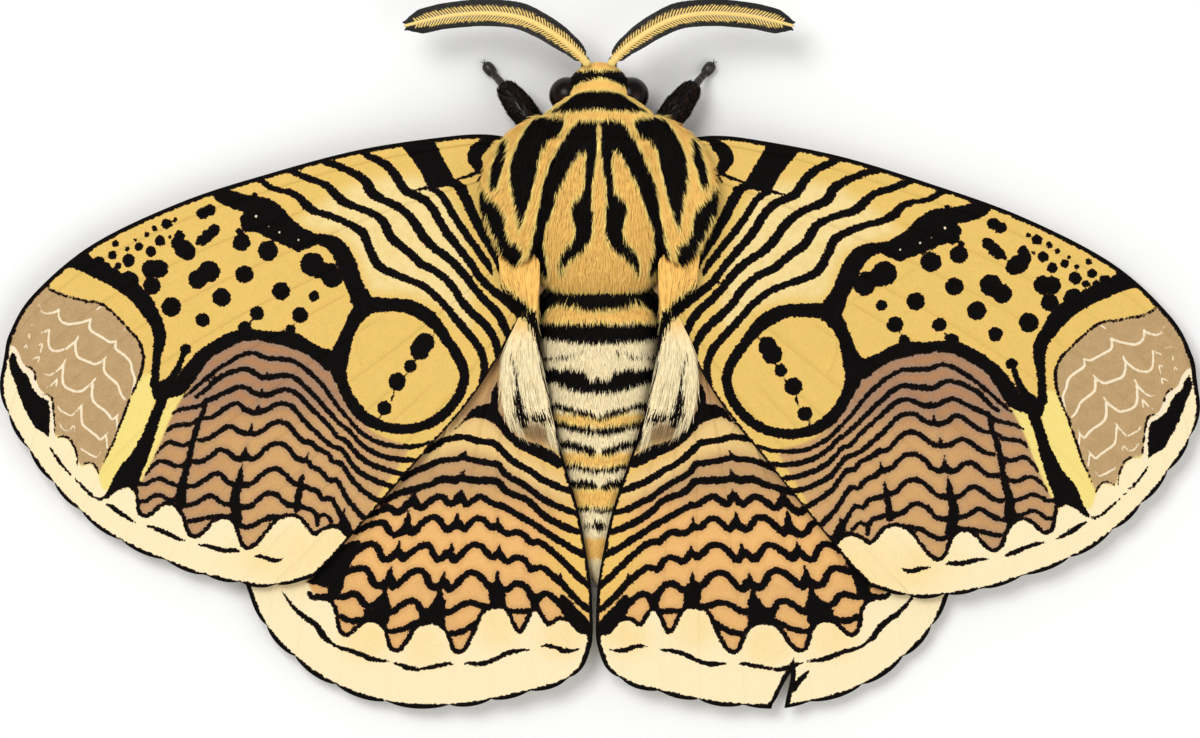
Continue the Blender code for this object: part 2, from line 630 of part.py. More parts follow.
def tegula_locks(side, chance):
    """Short hair on the rear end of a shoulder flap."""
    made = []
    x0, y0, z0 = TEGULA_LOCK_ROOTS
    for k in range(TEGULA_LOCKS):
        across = 2 * k / (TEGULA_LOCKS - 1) - 1
        x = x0 + across * TEGULA_LOCK_SPREAD[0]
        y = y0 + across ** 2 * TEGULA_LOCK_SPREAD[1]
        z = z0 - math.tan(math.radians(TEGULA_ROLL)) * (x - x0)
        length = chance.uniform(0.9, 1.1)
        line = [(x + dx, y + dy * length, z + dz) for dx, dy, dz in TEGULA_LOCK_LINE]
        made.append(lock(mirrored(line, side), TEGULA_LOCK_HALF))
    return made


def make_tegula(label, side, chance):
    """The flap is rolled down outwards, about its own middle line."""
    path = smooth_path(TEGULA, 12)
    roll = math.radians(TEGULA_ROLL)
    rings = []
    for share in np.linspace(0.0, 1.0, TEGULA_RINGS + 2)[1:-1]:
        y, x, half_width, half_height, z = at(path, share)
        ring = []
        for k in range(TEGULA_SIDES):
            angle = math.tau * k / TEGULA_SIDES
            across, up = half_width * math.cos(angle), half_height * math.sin(angle)
            ring.append((x + across * math.cos(roll) + up * math.sin(roll), y,
                         z + up * math.cos(roll) - across * math.sin(roll)))
        rings.append(ring)
    first, last = TEGULA[0], TEGULA[-1]
    points, faces = loft(rings, (first[1], first[0], first[4]), (last[1], last[0], last[4]))
    flap = object_from("tegula_" + label, mirrored(points, side), faces, "coat")
    return fuse(flap, tegula_locks(side, chance))


def make_antenna(label, side):
    """A feeler: a tapered shaft with a tooth to each side at every joint."""
    path = smooth_path(ANTENNA_LINE)
    shares = np.linspace(0.0, 1.0, SHAFT_RINGS)
    radii = [SHAFT_RADIUS[0] + (SHAFT_RADIUS[1] - SHAFT_RADIUS[0]) * s for s in shares]
    points, faces = loft(tube([at(path, s) for s in shares], radii, 6))
    shaft = object_from("antenna_" + label, mirrored(points, side), faces, "antenna")
    teeth = []
    for share in np.linspace(*COMB_SPAN, COMB_PAIRS):
        reach = from_table(ANTENNA_HALF_WIDTH, share)[0]
        for direction in (-1, 1):
            points, faces = comb_tooth(path, share, direction, reach)
            teeth.append(object_from("tooth", mirrored(points, side), faces, "antenna"))
    return fuse(shaft, teeth)


def comb_tooth(path, share, direction, reach):
    """One tooth of the comb: it leaves the shaft sideways and leans towards the tip."""
    middle = at(path, share)
    ahead = at(path, min(1.0, share + 0.02)) - at(path, share - 0.02)
    ahead /= np.linalg.norm(ahead)
    out = np.cross(ahead, (0.0, 0.0, 1.0)) * direction
    out /= np.linalg.norm(out)
    tip = middle + out * reach + ahead * reach * COMB_SWEEP - np.array((0.0, 0.0, 0.12 * reach))
    elbow = middle + out * reach * 0.6 + ahead * reach * COMB_SWEEP * 0.42
    rings = []
    for point, scale in ((middle + out * 0.05, 1.0), (elbow, 0.85)):
        wide, thick = TOOTH_ROOT[0] * scale, TOOTH_ROOT[1] * scale
        up = np.array((0.0, 0.0, thick / 2))
        rings.append([point + ahead * wide - up, point + up, point - ahead * wide - up])
    return loft(rings, None, tip)


def make_palp(label, side):
    path = smooth_path([p for p, _ in PALP], 8)
    shares = np.linspace(0.0, 1.0, 7)
    radii = [float(np.interp(s, np.linspace(0, 1, len(PALP)), [r for _, r in PALP])) for s in shares]
    points, faces = loft(tube([at(path, s) for s in shares], radii, 8))
    return object_from("palp_" + label, mirrored(points, side), faces, "dark")


def make_proboscis():
    """The tongue, coiled flat between the palps."""
    outer, radius = PROBOSCIS_RADII
    y, z = PROBOSCIS_MIDDLE
    line = []
    for t in np.linspace(0.0, 1.0, 30):
        angle = math.pi / 2 - math.tau * PROBOSCIS_TURNS * t
        reach = outer - (outer - 0.35) * t
        line.append((0.0, y + reach * math.cos(angle), z + reach * math.sin(angle)))
    rings = []
    for i, point in enumerate(line):
        ahead = np.array(line[min(i + 1, 29)]) - np.array(line[max(i - 1, 0)])
        ahead /= np.linalg.norm(ahead)
        above = np.cross((1.0, 0.0, 0.0), ahead)
        rings.append([np.array(point) + radius * (math.cos(math.tau * k / 6) * np.array((1.0, 0.0, 0.0))
                                                  + math.sin(math.tau * k / 6) * above) for k in range(6)])
    points, faces = loft(rings)
    return object_from("proboscis", points, faces, "antenna")


def limb(start, end, thick, bulge, sides=8):
    """One length of a leg: a rounded spindle that runs a little past each joint."""
    start, end = np.array(start, float), np.array(end, float)
    line = [start + (end - start) * share for share, _ in LIMB_PROFILE]
    radii = [thick * (1 + (full - 1) * bulge) for _, full in LIMB_PROFILE]
    points, faces = loft(tube(line, radii, sides))
    return object_from("limb", points, faces, "dark")


def make_leg(label, name, side):
    """Thigh, shin and foot in one solid, with a flat underfoot on the floor."""
    (hip, knee, ankle, foot), (thigh_r, shin_r, foot_r) = LEGS[name]
    hip, knee, ankle, foot = mirrored([hip, knee, ankle, foot], side)
    thigh = limb(hip, knee, thigh_r, 0.8)
    shin = limb(knee, ankle, shin_r, 1.0)
    tarsus = limb(ankle, foot, foot_r, 0.3, 6)
    heading = math.atan2(foot[1] - ankle[1], foot[0] - ankle[0]) - math.pi / 2
    turn = Matrix.Rotation(heading, 4, "Z")
    pad = ellipsoid("pad", (foot[0], foot[1], 0.35), FOOT_HALF, "dark", turn, 10, 4)
    thigh.name = f"{name}leg_{label}"
    fuse(thigh, [shin, tarsus, pad])
    for vertex in thigh.data.vertices:
        vertex.co.z = max(0.0, vertex.co.z)
    return thigh


def build():
    clear_scene()
    chance = random.Random(SEED)
    whole_thorax = body_form("thorax_whole", THORAX, "coat", 28, 14)
    thorax = body_form("thorax", THORAX, "coat", 28, 14)
    fuse(thorax, rear_locks(chance) + side_locks(-1, chance) + side_locks(1, chance))
    whole_abdomen = make_abdomen("abdomen_whole")
    abdomen = cut_clear(make_abdomen(), whole_thorax)
    whole_collar = body_form("collar_whole", COLLAR, "coat", 24, 9)
    collar = cut_clear(body_form("collar", COLLAR, "coat", 24, 9), whole_thorax)
    whole_head = body_form("head_whole", HEAD, "dark", 24, 11)
    head = cut_clear(body_form("head", HEAD, "dark", 24, 11), whole_collar, whole_thorax)
    proboscis = cut_clear(make_proboscis(), whole_head)
    done = [thorax, abdomen, collar, head, proboscis]
    for label, side in SIDES.items():
        x, y, z = EYE_MIDDLE
        eye = ellipsoid("eye_" + label, (x * side, y, z), (EYE_RADIUS,) * 3, "eye", None, 16, 10)
        cut_clear(eye, whole_head, whole_collar)
        antenna = cut_clear(make_antenna(label, side), whole_head, whole_collar)
        palp = cut_clear(make_palp(label, side), whole_head)
        tegula = cut_clear(make_tegula(label, side, chance), whole_thorax, whole_collar)
        forewing = wing_object("forewing_" + label, FOREWING, forewing_height, label, "wing")
        hindwing = wing_object("hindwing_" + label, HINDWING, hindwing_height, label, "hindwing")
        cut_clear(forewing, whole_thorax)
        cut_clear(hindwing, whole_thorax, whole_abdomen, solver="MANIFOLD")  # EXACT loses this thin sheet
        if label == "right":
            make_tear(hindwing)
        legs = [cut_clear(make_leg(label, name, side), whole_thorax) for name in LEGS]
        done += [eye, antenna, palp, tegula, forewing, hindwing, *legs]
    for whole in (whole_thorax, whole_abdomen, whole_collar, whole_head):
        bpy.data.objects.remove(whole, do_unlink=True)
    for obj in done:
        shaded_smooth(obj)


build()
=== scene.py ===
import math
import time

import bpy
import numpy as np
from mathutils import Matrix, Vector


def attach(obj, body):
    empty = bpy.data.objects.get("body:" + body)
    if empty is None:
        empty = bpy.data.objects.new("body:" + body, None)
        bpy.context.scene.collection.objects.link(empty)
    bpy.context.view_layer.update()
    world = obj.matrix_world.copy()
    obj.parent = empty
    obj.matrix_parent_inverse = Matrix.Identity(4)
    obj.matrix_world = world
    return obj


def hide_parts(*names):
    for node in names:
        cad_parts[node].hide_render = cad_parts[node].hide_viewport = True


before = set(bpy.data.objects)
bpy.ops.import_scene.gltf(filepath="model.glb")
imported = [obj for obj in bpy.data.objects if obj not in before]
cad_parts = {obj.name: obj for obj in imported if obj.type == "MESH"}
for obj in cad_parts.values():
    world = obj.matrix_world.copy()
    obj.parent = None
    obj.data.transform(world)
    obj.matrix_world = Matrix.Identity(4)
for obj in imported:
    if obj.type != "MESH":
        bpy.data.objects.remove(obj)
bpy.ops.object.select_all(action="DESELECT")
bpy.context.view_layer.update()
startTime = time.time()
mm = 0.001
sides = {"left": -1, "right": 1}


def report(stage):
    print(f"{stage}: {time.time() - startTime:.1f} s")


# curves and distances, shared by the wings and the body
def smoothStep(low, high, value):
    t = np.clip((value - low) / (high - low), 0.0, 1.0)
    return t * t * (3 - 2 * t)


def smoothPath(points, steps=24):
    # a Catmull-Rom curve through the points, and each found point's share of its length
    given = np.array(points, float)
    ends = np.vstack([2 * given[0] - given[1], given, 2 * given[-1] - given[-2]])
    found = []
    for a, b, c, d in zip(ends[:-3], ends[1:-2], ends[2:-1], ends[3:]):
        for t in np.linspace(0.0, 1.0, steps, endpoint=False):
            found.append(0.5 * (2 * b + (c - a) * t + (2 * a - 5 * b + 4 * c - d) * t ** 2
                                + (3 * b - a - 3 * c + d) * t ** 3))
    found.append(given[-1])
    found = np.array(found)
    along = np.concatenate([[0.0], np.cumsum(np.linalg.norm(np.diff(found, axis=0), axis=1))])
    return found, along / along[-1]


def placeOn(path, share):
    points, along = path
    return np.stack([np.interp(share, along, points[:, k]) for k in range(points.shape[1])], axis=-1)


def lineGap(places, a, b):
    # each place's distance to the line from a to b, and how far along the line it is nearest
    run = b[:2] - a[:2]
    t = np.clip((places - a[:2]) @ run / max(run @ run, 1e-9), 0.0, 1.0)
    return np.hypot(places[:, 0] - a[0] - t * run[0], places[:, 1] - a[1] - t * run[1]), t


def strokeField(field, places, stroke, reach=14.0, steps=4):
    # raises the field to the stroke's half width less the distance to it, within reach
    line = smoothPath(stroke, steps)[0]
    low = line[:, :2].min(axis=0) - reach
    high = line[:, :2].max(axis=0) + reach
    near = np.nonzero(np.all((places > low) & (places < high), axis=1))[0]
    if not len(near):
        return
    found = places[near]
    best = np.full(len(near), -1e9)
    for a, b in zip(line[:-1], line[1:]):
        gap, t = lineGap(found, a, b)
        best = np.maximum(best, a[2] + t * (b[2] - a[2]) - gap)
    field[near] = np.maximum(field[near], best)


def insideField(places, outline, steps=1):
    # distance inside a closed outline, negative outside it
    ring = np.array(outline, float)
    if steps > 1:
        closed = np.vstack([ring, ring[:1]])
        ring = smoothPath(closed, steps)[0][:-1]
    gap = np.full(len(places), 1e9)
    inside = np.zeros(len(places), bool)
    for a, b in zip(ring, np.roll(ring, -1, axis=0)):
        gap = np.minimum(gap, lineGap(places, a, b)[0])
        crosses = (a[1] > places[:, 1]) != (b[1] > places[:, 1])
        run, rise = b - a
        where = a[0] + (places[:, 1] - a[1]) * run / (rise if rise else 1e-9)
        inside ^= crosses & (places[:, 0] < where)
    return np.where(inside, gap, -gap)


def roundField(field, places, spots):
    for x, y, radius in spots:
        field[:] = np.maximum(field, radius - np.hypot(places[:, 0] - x, places[:, 1] - y))


# the drawing's frame in its pixels, with y down: millimetres to a pixel, and where the model's origin lies
drawing = {"pixel": 0.15, "middleX": 599.0, "middleY": 356.0}
unmarked = -9.0  # the field's value where nothing is drawn


def toPixels(x, y):
    # outward and forward millimetres to the place drawn on the moth's left side
    pixel = drawing["pixel"]
    return np.stack([drawing["middleX"] - x / pixel, drawing["middleY"] - y / pixel], axis=-1)


# the wings, as the frame's solids have them
wingShape = {
    "thickness": 0.3, "costaThickness": 0.62, "veinHeight": 0.26, "lobeDepth": 0.7,
    "roofLow": 2.6, "roofRise": 6.9, "roofLength": 40.0, "hindwingDrop": 1.5,
    "hinge": (13.0, 20.0), "sweep": {"left": 1.3, "right": -1.3}, "shift": -0.7,
    "reach": {"left": -0.6, "right": 0.85}, "reachSpan": (30.0, 88.0),
    "under": 4,  # the underside's grid is this many times coarser
    "veinWidth": 0.24, "crossVeinWidth": 0.3,
}
forewing = {
    "costa": [(11.4, 32.2), (17.0, 33.0), (23.5, 32.5), (35.9, 30.4), (49.4, 26.6), (62.9, 22.0),
              (76.4, 15.3), (85.2, 7.6), (88.6, 1.8), (89.4, -2.0)],
    "margin": [(89.4, -2.0), (89.9, -6.9), (88.0, -12.3), (81.3, -21.4), (72.6, -28.6), (62.1, -33.0),
               (56.9, -34.5), (48.6, -35.6), (42.0, -34.0)],
    "rear": [(9.6, 10.2), (12.8, 3.2), (18.5, -6.5), (26.0, -15.6), (37.0, -28.6), (42.0, -34.0)],
    "root": [(11.4, 32.2), (8.8, 21.0), (9.6, 10.2)],
    "veins": [0.045, 0.134, 0.228, 0.326, 0.414, 0.533, 0.647, 0.748, 0.83, 0.915],
    "stems": (0.228, 0.647), "full": (0.045, 0.915), "cellEnd": 0.42,
    "rows": [(0.0, 0.42), (0.72, 1.0), (1.0, 1.0)], "rowCount": 364,
    "columns": [(0.0, 1.0), (0.5, 1.0), (0.75, 0.7), (1.0, 0.6)], "columnCount": 224,
    "width": 58.0, "edgeLines": {"costa": 0.68, "margin": 0.62, "rear": 0.34},
}
hindwing = {
    "costa": [(9.4, 14.6), (25.0, 7.5), (40.0, -6.0), (50.3, -20.5), (53.5, -33.2)],
    "margin": [(53.5, -33.2), (49.9, -41.4), (41.4, -48.9), (31.0, -52.5), (20.1, -52.7), (9.0, -50.5),
               (4.3, -49.0), (1.8, -46.9), (0.45, -43.4), (0.2, -41.0)],
    "rear": [(5.4, 11.6), (8.4, 8.8), (9.2, 5.4), (8.9, 0.7), (7.7, -5.6), (6.0, -12.2), (2.8, -22.2),
             (1.5, -28.2), (0.45, -34.8), (0.2, -41.0)],
    "root": [(9.4, 14.6), (7.4, 13.4), (5.4, 11.6)],
    "veins": [0.121, 0.215, 0.327, 0.449, 0.594, 0.691, 0.779, 0.871],
    "stems": (0.215, 0.594), "full": (0.871,), "cellEnd": 0.4,
    "rows": [(0.0, 0.6), (0.6, 1.0), (1.0, 1.0)], "rowCount": 288,
    "columns": [(0.0, 1.0), (1.0, 1.0)], "columnCount": 208,
    # the rear edge's black line is partly painted shadow, where the hindwing meets the abdomen
    "width": 48.0, "edgeLines": {"costa": 0.5, "margin": 0.72, "rear": 0.5},
}
# the abdomen's stations: forward place, half width, half height, height of the middle
abdomenStations = [
    (11.6, 0.0, 0.0, 6.7), (11.0, 5.2, 3.0, 6.7), (9.0, 8.4, 4.7, 6.6), (5.0, 9.2, 5.1, 6.4),
    (-5.0, 8.2, 4.6, 5.8), (-12.0, 7.0, 4.0, 5.1), (-18.0, 5.7, 3.4, 4.5), (-24.0, 4.2, 2.7, 3.9),
    (-29.0, 2.9, 2.0, 3.4), (-33.0, 1.7, 1.4, 3.1), (-36.0, 0.0, 0.0, 3.0)]


def stationAt(stations, y):
    path = smoothPath(stations, 12)[0]
    return [np.interp(-np.asarray(y, float), -path[:, 0], path[:, k]) for k in (1, 2, 3)]


def roofHeight(x, y):
    # the wings slope down outwards and rearwards
    fall = 1.0 - 0.5 * smoothStep(-6.0, -52.0, y)
    slope = np.exp(-np.maximum(0.0, x - 10.0) / wingShape["roofLength"])
    return wingShape["roofLow"] + wingShape["roofRise"] * slope * fall


def abdomenTop(x, y):
    halfWidth, halfHeight, z = stationAt(abdomenStations, np.minimum(y, 9.0))
    safe = np.maximum(halfWidth, 0.01)
    inside = np.maximum(0.0, 1.0 - (x / safe) ** 2)
    top = z + halfHeight * np.sqrt(inside) - 2.0 * np.maximum(0.0, x - halfWidth)
    return np.where((y < abdomenStations[-1][0]) | (halfWidth <= 0.0), 0.0, top)


def forewingHeight(x, y):
    return roofHeight(x, y) - 0.5 + 0.5 * smoothStep(34.0, 20.0, y)


def hindwingHeight(x, y):
    low = roofHeight(x, y) - wingShape["hindwingDrop"]
    lift = abdomenTop(x, y) + 0.82 - low
    return low + lift * smoothStep(-0.8, 0.8, lift) * smoothStep(4.0, -2.0, y)


def marginDip(wing, v):
    stops = [0.0] + [vein for vein in wing["veins"] if vein > 0.08] + [1.0]
    dip = np.zeros_like(v)
    for low, high in zip(stops[:-1], stops[1:]):
        fraction = np.clip((v - low) / (high - low), 0.0, 1.0)
        bulge = np.sqrt(np.maximum(0.0, np.sin(math.pi * fraction)))
        edge = np.ones_like(v)
        if low == 0.0:
            edge = np.where(fraction < 0.5, 0.0, edge)
        if high == 1.0:
            edge = np.where(fraction > 0.5, 0.0, edge)
        here = (v >= low) & (v <= high)
        dip = np.where(here, wingShape["lobeDepth"] * (1.0 - bulge) * edge, dip)
    return dip


def wingPlan(wing, u, v):
    # the plan of a point: u from root to margin, v from front edge to rear edge
    front, rear, root, outer = [smoothPath(wing[k]) for k in ("costa", "rear", "root", "margin")]
    frontP, rearP, rootP, outerP = placeOn(front, u), placeOn(rear, u), placeOn(root, v), placeOn(outer, v)
    s, t = u[:, None], v[:, None]
    corners = ((1 - s) * (1 - t) * placeOn(root, 0.0) + (1 - s) * t * placeOn(root, 1.0)
               + s * (1 - t) * placeOn(outer, 0.0) + s * t * placeOn(outer, 1.0))
    place = (1 - t) * frontP + t * rearP + (1 - s) * rootP + s * outerP - corners
    run = placeOn(outer, np.minimum(1.0, v + 0.01)) - placeOn(outer, np.maximum(0.0, v - 0.01))
    outward = np.stack([-run[:, 1], run[:, 0]], axis=-1)
    outward /= np.linalg.norm(outward, axis=1)[:, None]
    turned = np.sum(outward * (outerP - placeOn(root, 0.5)), axis=1) < 0
    outward[turned] *= -1
    return place - outward * (marginDip(wing, v) * smoothStep(0.85, 1.0, u))[:, None]


def veinRelief(wing, u, v, width):
    # rounded ridges along the veins and across the end of the cell
    relief = np.zeros_like(u)
    firstStem, lastStem = wing["stems"]
    for vein in wing["veins"]:
        atRoot = vein in wing["stems"] or vein in wing["full"]
        begin = 1.0 if atRoot else smoothStep(wing["cellEnd"] - 0.1, wing["cellEnd"], u)
        ridge = begin * np.exp(-((v - vein) * width / wingShape["veinWidth"]) ** 2)
        relief = np.maximum(relief, wingShape["veinHeight"] * ridge * (1 - 0.5 * smoothStep(0.6, 1.0, u)))
    inCell = smoothStep(firstStem, firstStem + 0.02, v) * smoothStep(lastStem, lastStem - 0.02, v)
    cross = wing["cellEnd"] + 0.03 * np.cos((v - firstStem) / (lastStem - firstStem) * math.tau)
    ridge = inCell * np.exp(-((u - cross) * 70 / wingShape["crossVeinWidth"]) ** 2)
    return np.maximum(relief, wingShape["veinHeight"] * 0.8 * ridge)


def sweptPlan(x, y, label):
    # the forewing's own plan, drawn out towards its tip and turned about its hinge
    turn = math.radians(wingShape["sweep"][label])
    hx, hy = wingShape["hinge"]
    x = x + wingShape["reach"][label] * smoothStep(*wingShape["reachSpan"], x)
    return (hx + (x - hx) * math.cos(turn) - (y - hy) * math.sin(turn),
            hy + (x - hx) * math.sin(turn) + (y - hy) * math.cos(turn))


def gridShares(count, density, veins=(), closeBy=0.004):
    # count + 1 shares from 0 to 1, spaced as density says and closer beside the veins
    fine = np.linspace(0.0, 1.0, 4001)
    weight = np.interp(fine, *zip(*density))
    for vein in veins:
        weight = weight * (1.0 + 1.2 * np.exp(-((fine - vein) / closeBy) ** 2))
    total = np.concatenate([[0.0], np.cumsum((weight[1:] + weight[:-1]) / 2)])
    return np.interp(np.linspace(0.0, total[-1], count + 1), total, fine)


# what is drawn on the forewing: x, y and half width along each stroke, in pixels
forewingStripes = {
    "stripe1": [
        (254, 177, 3), (262, 181, 3.2), (270, 187, 3.2), (280, 190.5, 2.8), (290, 192.5, 3.2), (300, 198, 4),
        (307, 206, 5), (317, 212, 3.8), (330, 216, 3.6), (342, 220.5, 3.8), (355, 227, 4.2), (364, 234, 5),
        (368, 244, 4.5), (373, 255, 4.6), (377.5, 264, 5), (386, 270.5, 4.4), (398, 275.5, 4),
        (412, 281, 3.8), (424, 286.5, 3.8), (434, 294, 4), (444, 304, 4), (453, 315, 4), (463, 327, 4.2),
        (473, 339, 4.3), (481, 350, 4.3), (484.5, 362, 4), (484.5, 373, 4), (482, 383, 3.2), (477, 393, 1)],
    "stripe2": [
        (286, 169, 3), (296, 173, 3.4), (308, 178.5, 3.6), (320, 182.5, 3.6), (330, 188, 4.2), (338, 197, 5),
        (347, 204, 4.5), (360, 208.5, 3.6), (372, 213.5, 3.8), (381, 219, 4.5), (387, 228, 5), (392, 238, 5),
        (402, 246.5, 4.6), (412, 255, 4.6), (422, 264.5, 4.5), (434, 270.5, 4), (445, 278.5, 4.2),
        (454, 288, 4.3), (462, 301, 4.3), (472, 312.5, 4.5), (483, 322.5, 4.6), (491, 332, 4.6),
        (497, 345, 4.2), (498.5, 358, 3.6), (496, 370, 2), (493, 376, 0.6)],
    "stripe3": [
        (322, 161, 3), (332, 164, 3.6), (345, 169, 3.8), (357, 175, 4.2), (367, 183, 5.2), (372, 193, 5.6),
        (381, 199, 4.4), (391, 203.5, 4), (401, 209, 4.3), (410, 217, 4.8), (417, 226, 5), (424, 237, 5),
        (433, 247, 4.6), (444, 255, 4.4), (454, 263, 4.4), (464, 274, 4.4), (473, 286, 4.2), (483, 298, 4.2),
        (493, 308, 4.4), (501, 318, 4.6), (506, 329, 4.4), (510, 340, 3), (513, 349, 0.6)],
    "stripe4": [
        (362, 152, 3.4), (371, 157, 3.8), (381, 162, 4), (391, 169.5, 4.6), (398, 179, 5), (404, 189, 5),
        (413, 194.5, 4.4), (424, 200, 4.4), (433, 209, 4.6), (440, 221, 4.6), (447, 233, 4.6),
        (455, 243, 4.4), (463, 253, 4.2), (472, 265, 4.2), (480, 277, 4.2), (488, 286, 4.2), (498, 294, 4.6),
        (507, 301, 5.5), (516, 308, 6.5), (525, 317, 5.5), (533, 326, 3.5)],
    "stripe5": [
        (431, 189, 3), (439, 193, 3.6), (447, 203, 4), (453, 214, 4), (460, 225, 4), (467, 235, 4),
        (475, 246, 4), (483, 257, 4), (489, 266, 3.4), (493, 275, 1)],
    "stripe6": [
        (458, 186, 4.5), (465, 196, 5.5), (471, 210, 5.2), (478, 224, 5), (485, 238, 4.6), (492, 250, 3.8),
        (498, 263, 3.2), (503, 276, 3.2), (508, 288, 3.6), (511, 298, 3)],
    "rootBlotch": [
        (491, 139, 4.5), (484, 146, 6.5), (477, 152, 7.5), (475, 160, 7), (479, 168, 5), (480, 173, 2)],
    "rootVein1": [(410, 192, 0.8), (420, 190, 1.4), (430, 188, 2), (440, 186, 1.6), (456, 184, 1)],
    "rootVein2": [(455, 181, 1.2), (465, 178, 1.8), (475, 174.5, 2), (482, 171, 2), (488, 167.5, 0.7)],
    "rootVein3": [(478, 182, 0.8), (482, 177, 1.3), (486, 172.5, 0.7)],
}
forewingBands = {
    "upperBar": [
        (214, 192.5, 3), (224, 196.5, 8), (238, 201.5, 8.5), (252, 205, 9), (262, 214, 17), (272, 221, 17),
        (281, 228, 14.5), (291, 234.5, 13), (303, 239.5, 10.5), (317, 239.5, 5.6), (328, 241.5, 7),
        (338, 248, 9), (345.5, 260, 9.5), (350.5, 273, 9.5), (356, 287, 9), (362, 300, 11)],
    "hook": [(318, 270, 8), (330, 272, 9)],
    "ring": [
        (372, 305, 8), (390, 305, 7), (408, 306.5, 7), (420, 311.5, 7.5), (431, 319, 7.4), (440, 329, 6.2),
        (447.5, 340, 5.5), (454.5, 350, 5.6), (461.5, 362, 5.3), (464.8, 375, 5.2), (462, 390, 5.2),
        (453, 405, 5.2), (440, 417.5, 5.2), (424, 425.5, 5), (405, 429, 5), (388, 427.5, 5.2),
        (372, 421.5, 6), (359, 411.5, 6.5), (350, 399, 6.2), (343.5, 385, 6), (339, 370, 8.5),
        (340, 357, 9.5), (344, 345, 8), (349, 332, 6.8), (355, 320, 7.5), (363, 310, 9), (372, 305, 8)],
    "moundRim": [
        (163, 391, 9), (180, 386, 8.5), (190, 373.5, 8.3), (200, 360, 7.5), (210, 351, 6.8), (220, 345, 7),
        (230, 340, 7), (240, 336, 6.7), (250, 334.8, 6.3), (260, 335, 5.3), (270, 337, 6), (280, 338, 6.8),
        (290, 339.5, 8), (300, 343, 7.5), (310, 348.5, 6.8), (320, 354.5, 7.5), (330, 361, 10)],
    "outerBar": [
        (72, 262, 6), (84, 263, 9), (96, 270, 8), (108, 275, 8.5), (120, 282, 8.5), (132, 290, 9),
        (143, 301, 9), (150, 312, 8), (157, 324, 7), (160, 337, 6.5), (158, 351, 5), (156, 367, 4.2),
        (155, 384, 5)],
    "stem": [(160, 390, 8), (168, 383, 5.5), (174, 376, 4.5), (180, 364, 3.2), (184, 354, 3)],
    "lowerBar": [
        (161, 392, 9), (161, 403, 5.5), (156, 415, 5.5), (151, 430, 6), (145, 445, 7.5), (138, 460, 9),
        (131, 470, 11), (124, 478, 9.5), (115, 487, 5), (107, 496, 2.5)],
    "spotStalk1": [(254, 319, 0.7), (249, 324, 0.8)],
    "spotStalk2": [(297, 322, 0.7), (292, 328, 0.8)],
    "eyeStalk1": [(394.5, 391, 0.8), (394, 395, 1.7), (391.5, 400.5, 0.6)],
    "eyeStalk2": [(417, 359, 0.6), (415, 362, 0.6)],
    "eyeStalk3": [(409, 371, 0.6), (405.5, 376, 0.6)],
    "eyeStalk4": [(382, 414.5, 0.7), (378.5, 419.5, 1.2)],
    "eyeStalk5": [(434, 336, 0.7), (437, 333, 0.7)],
}
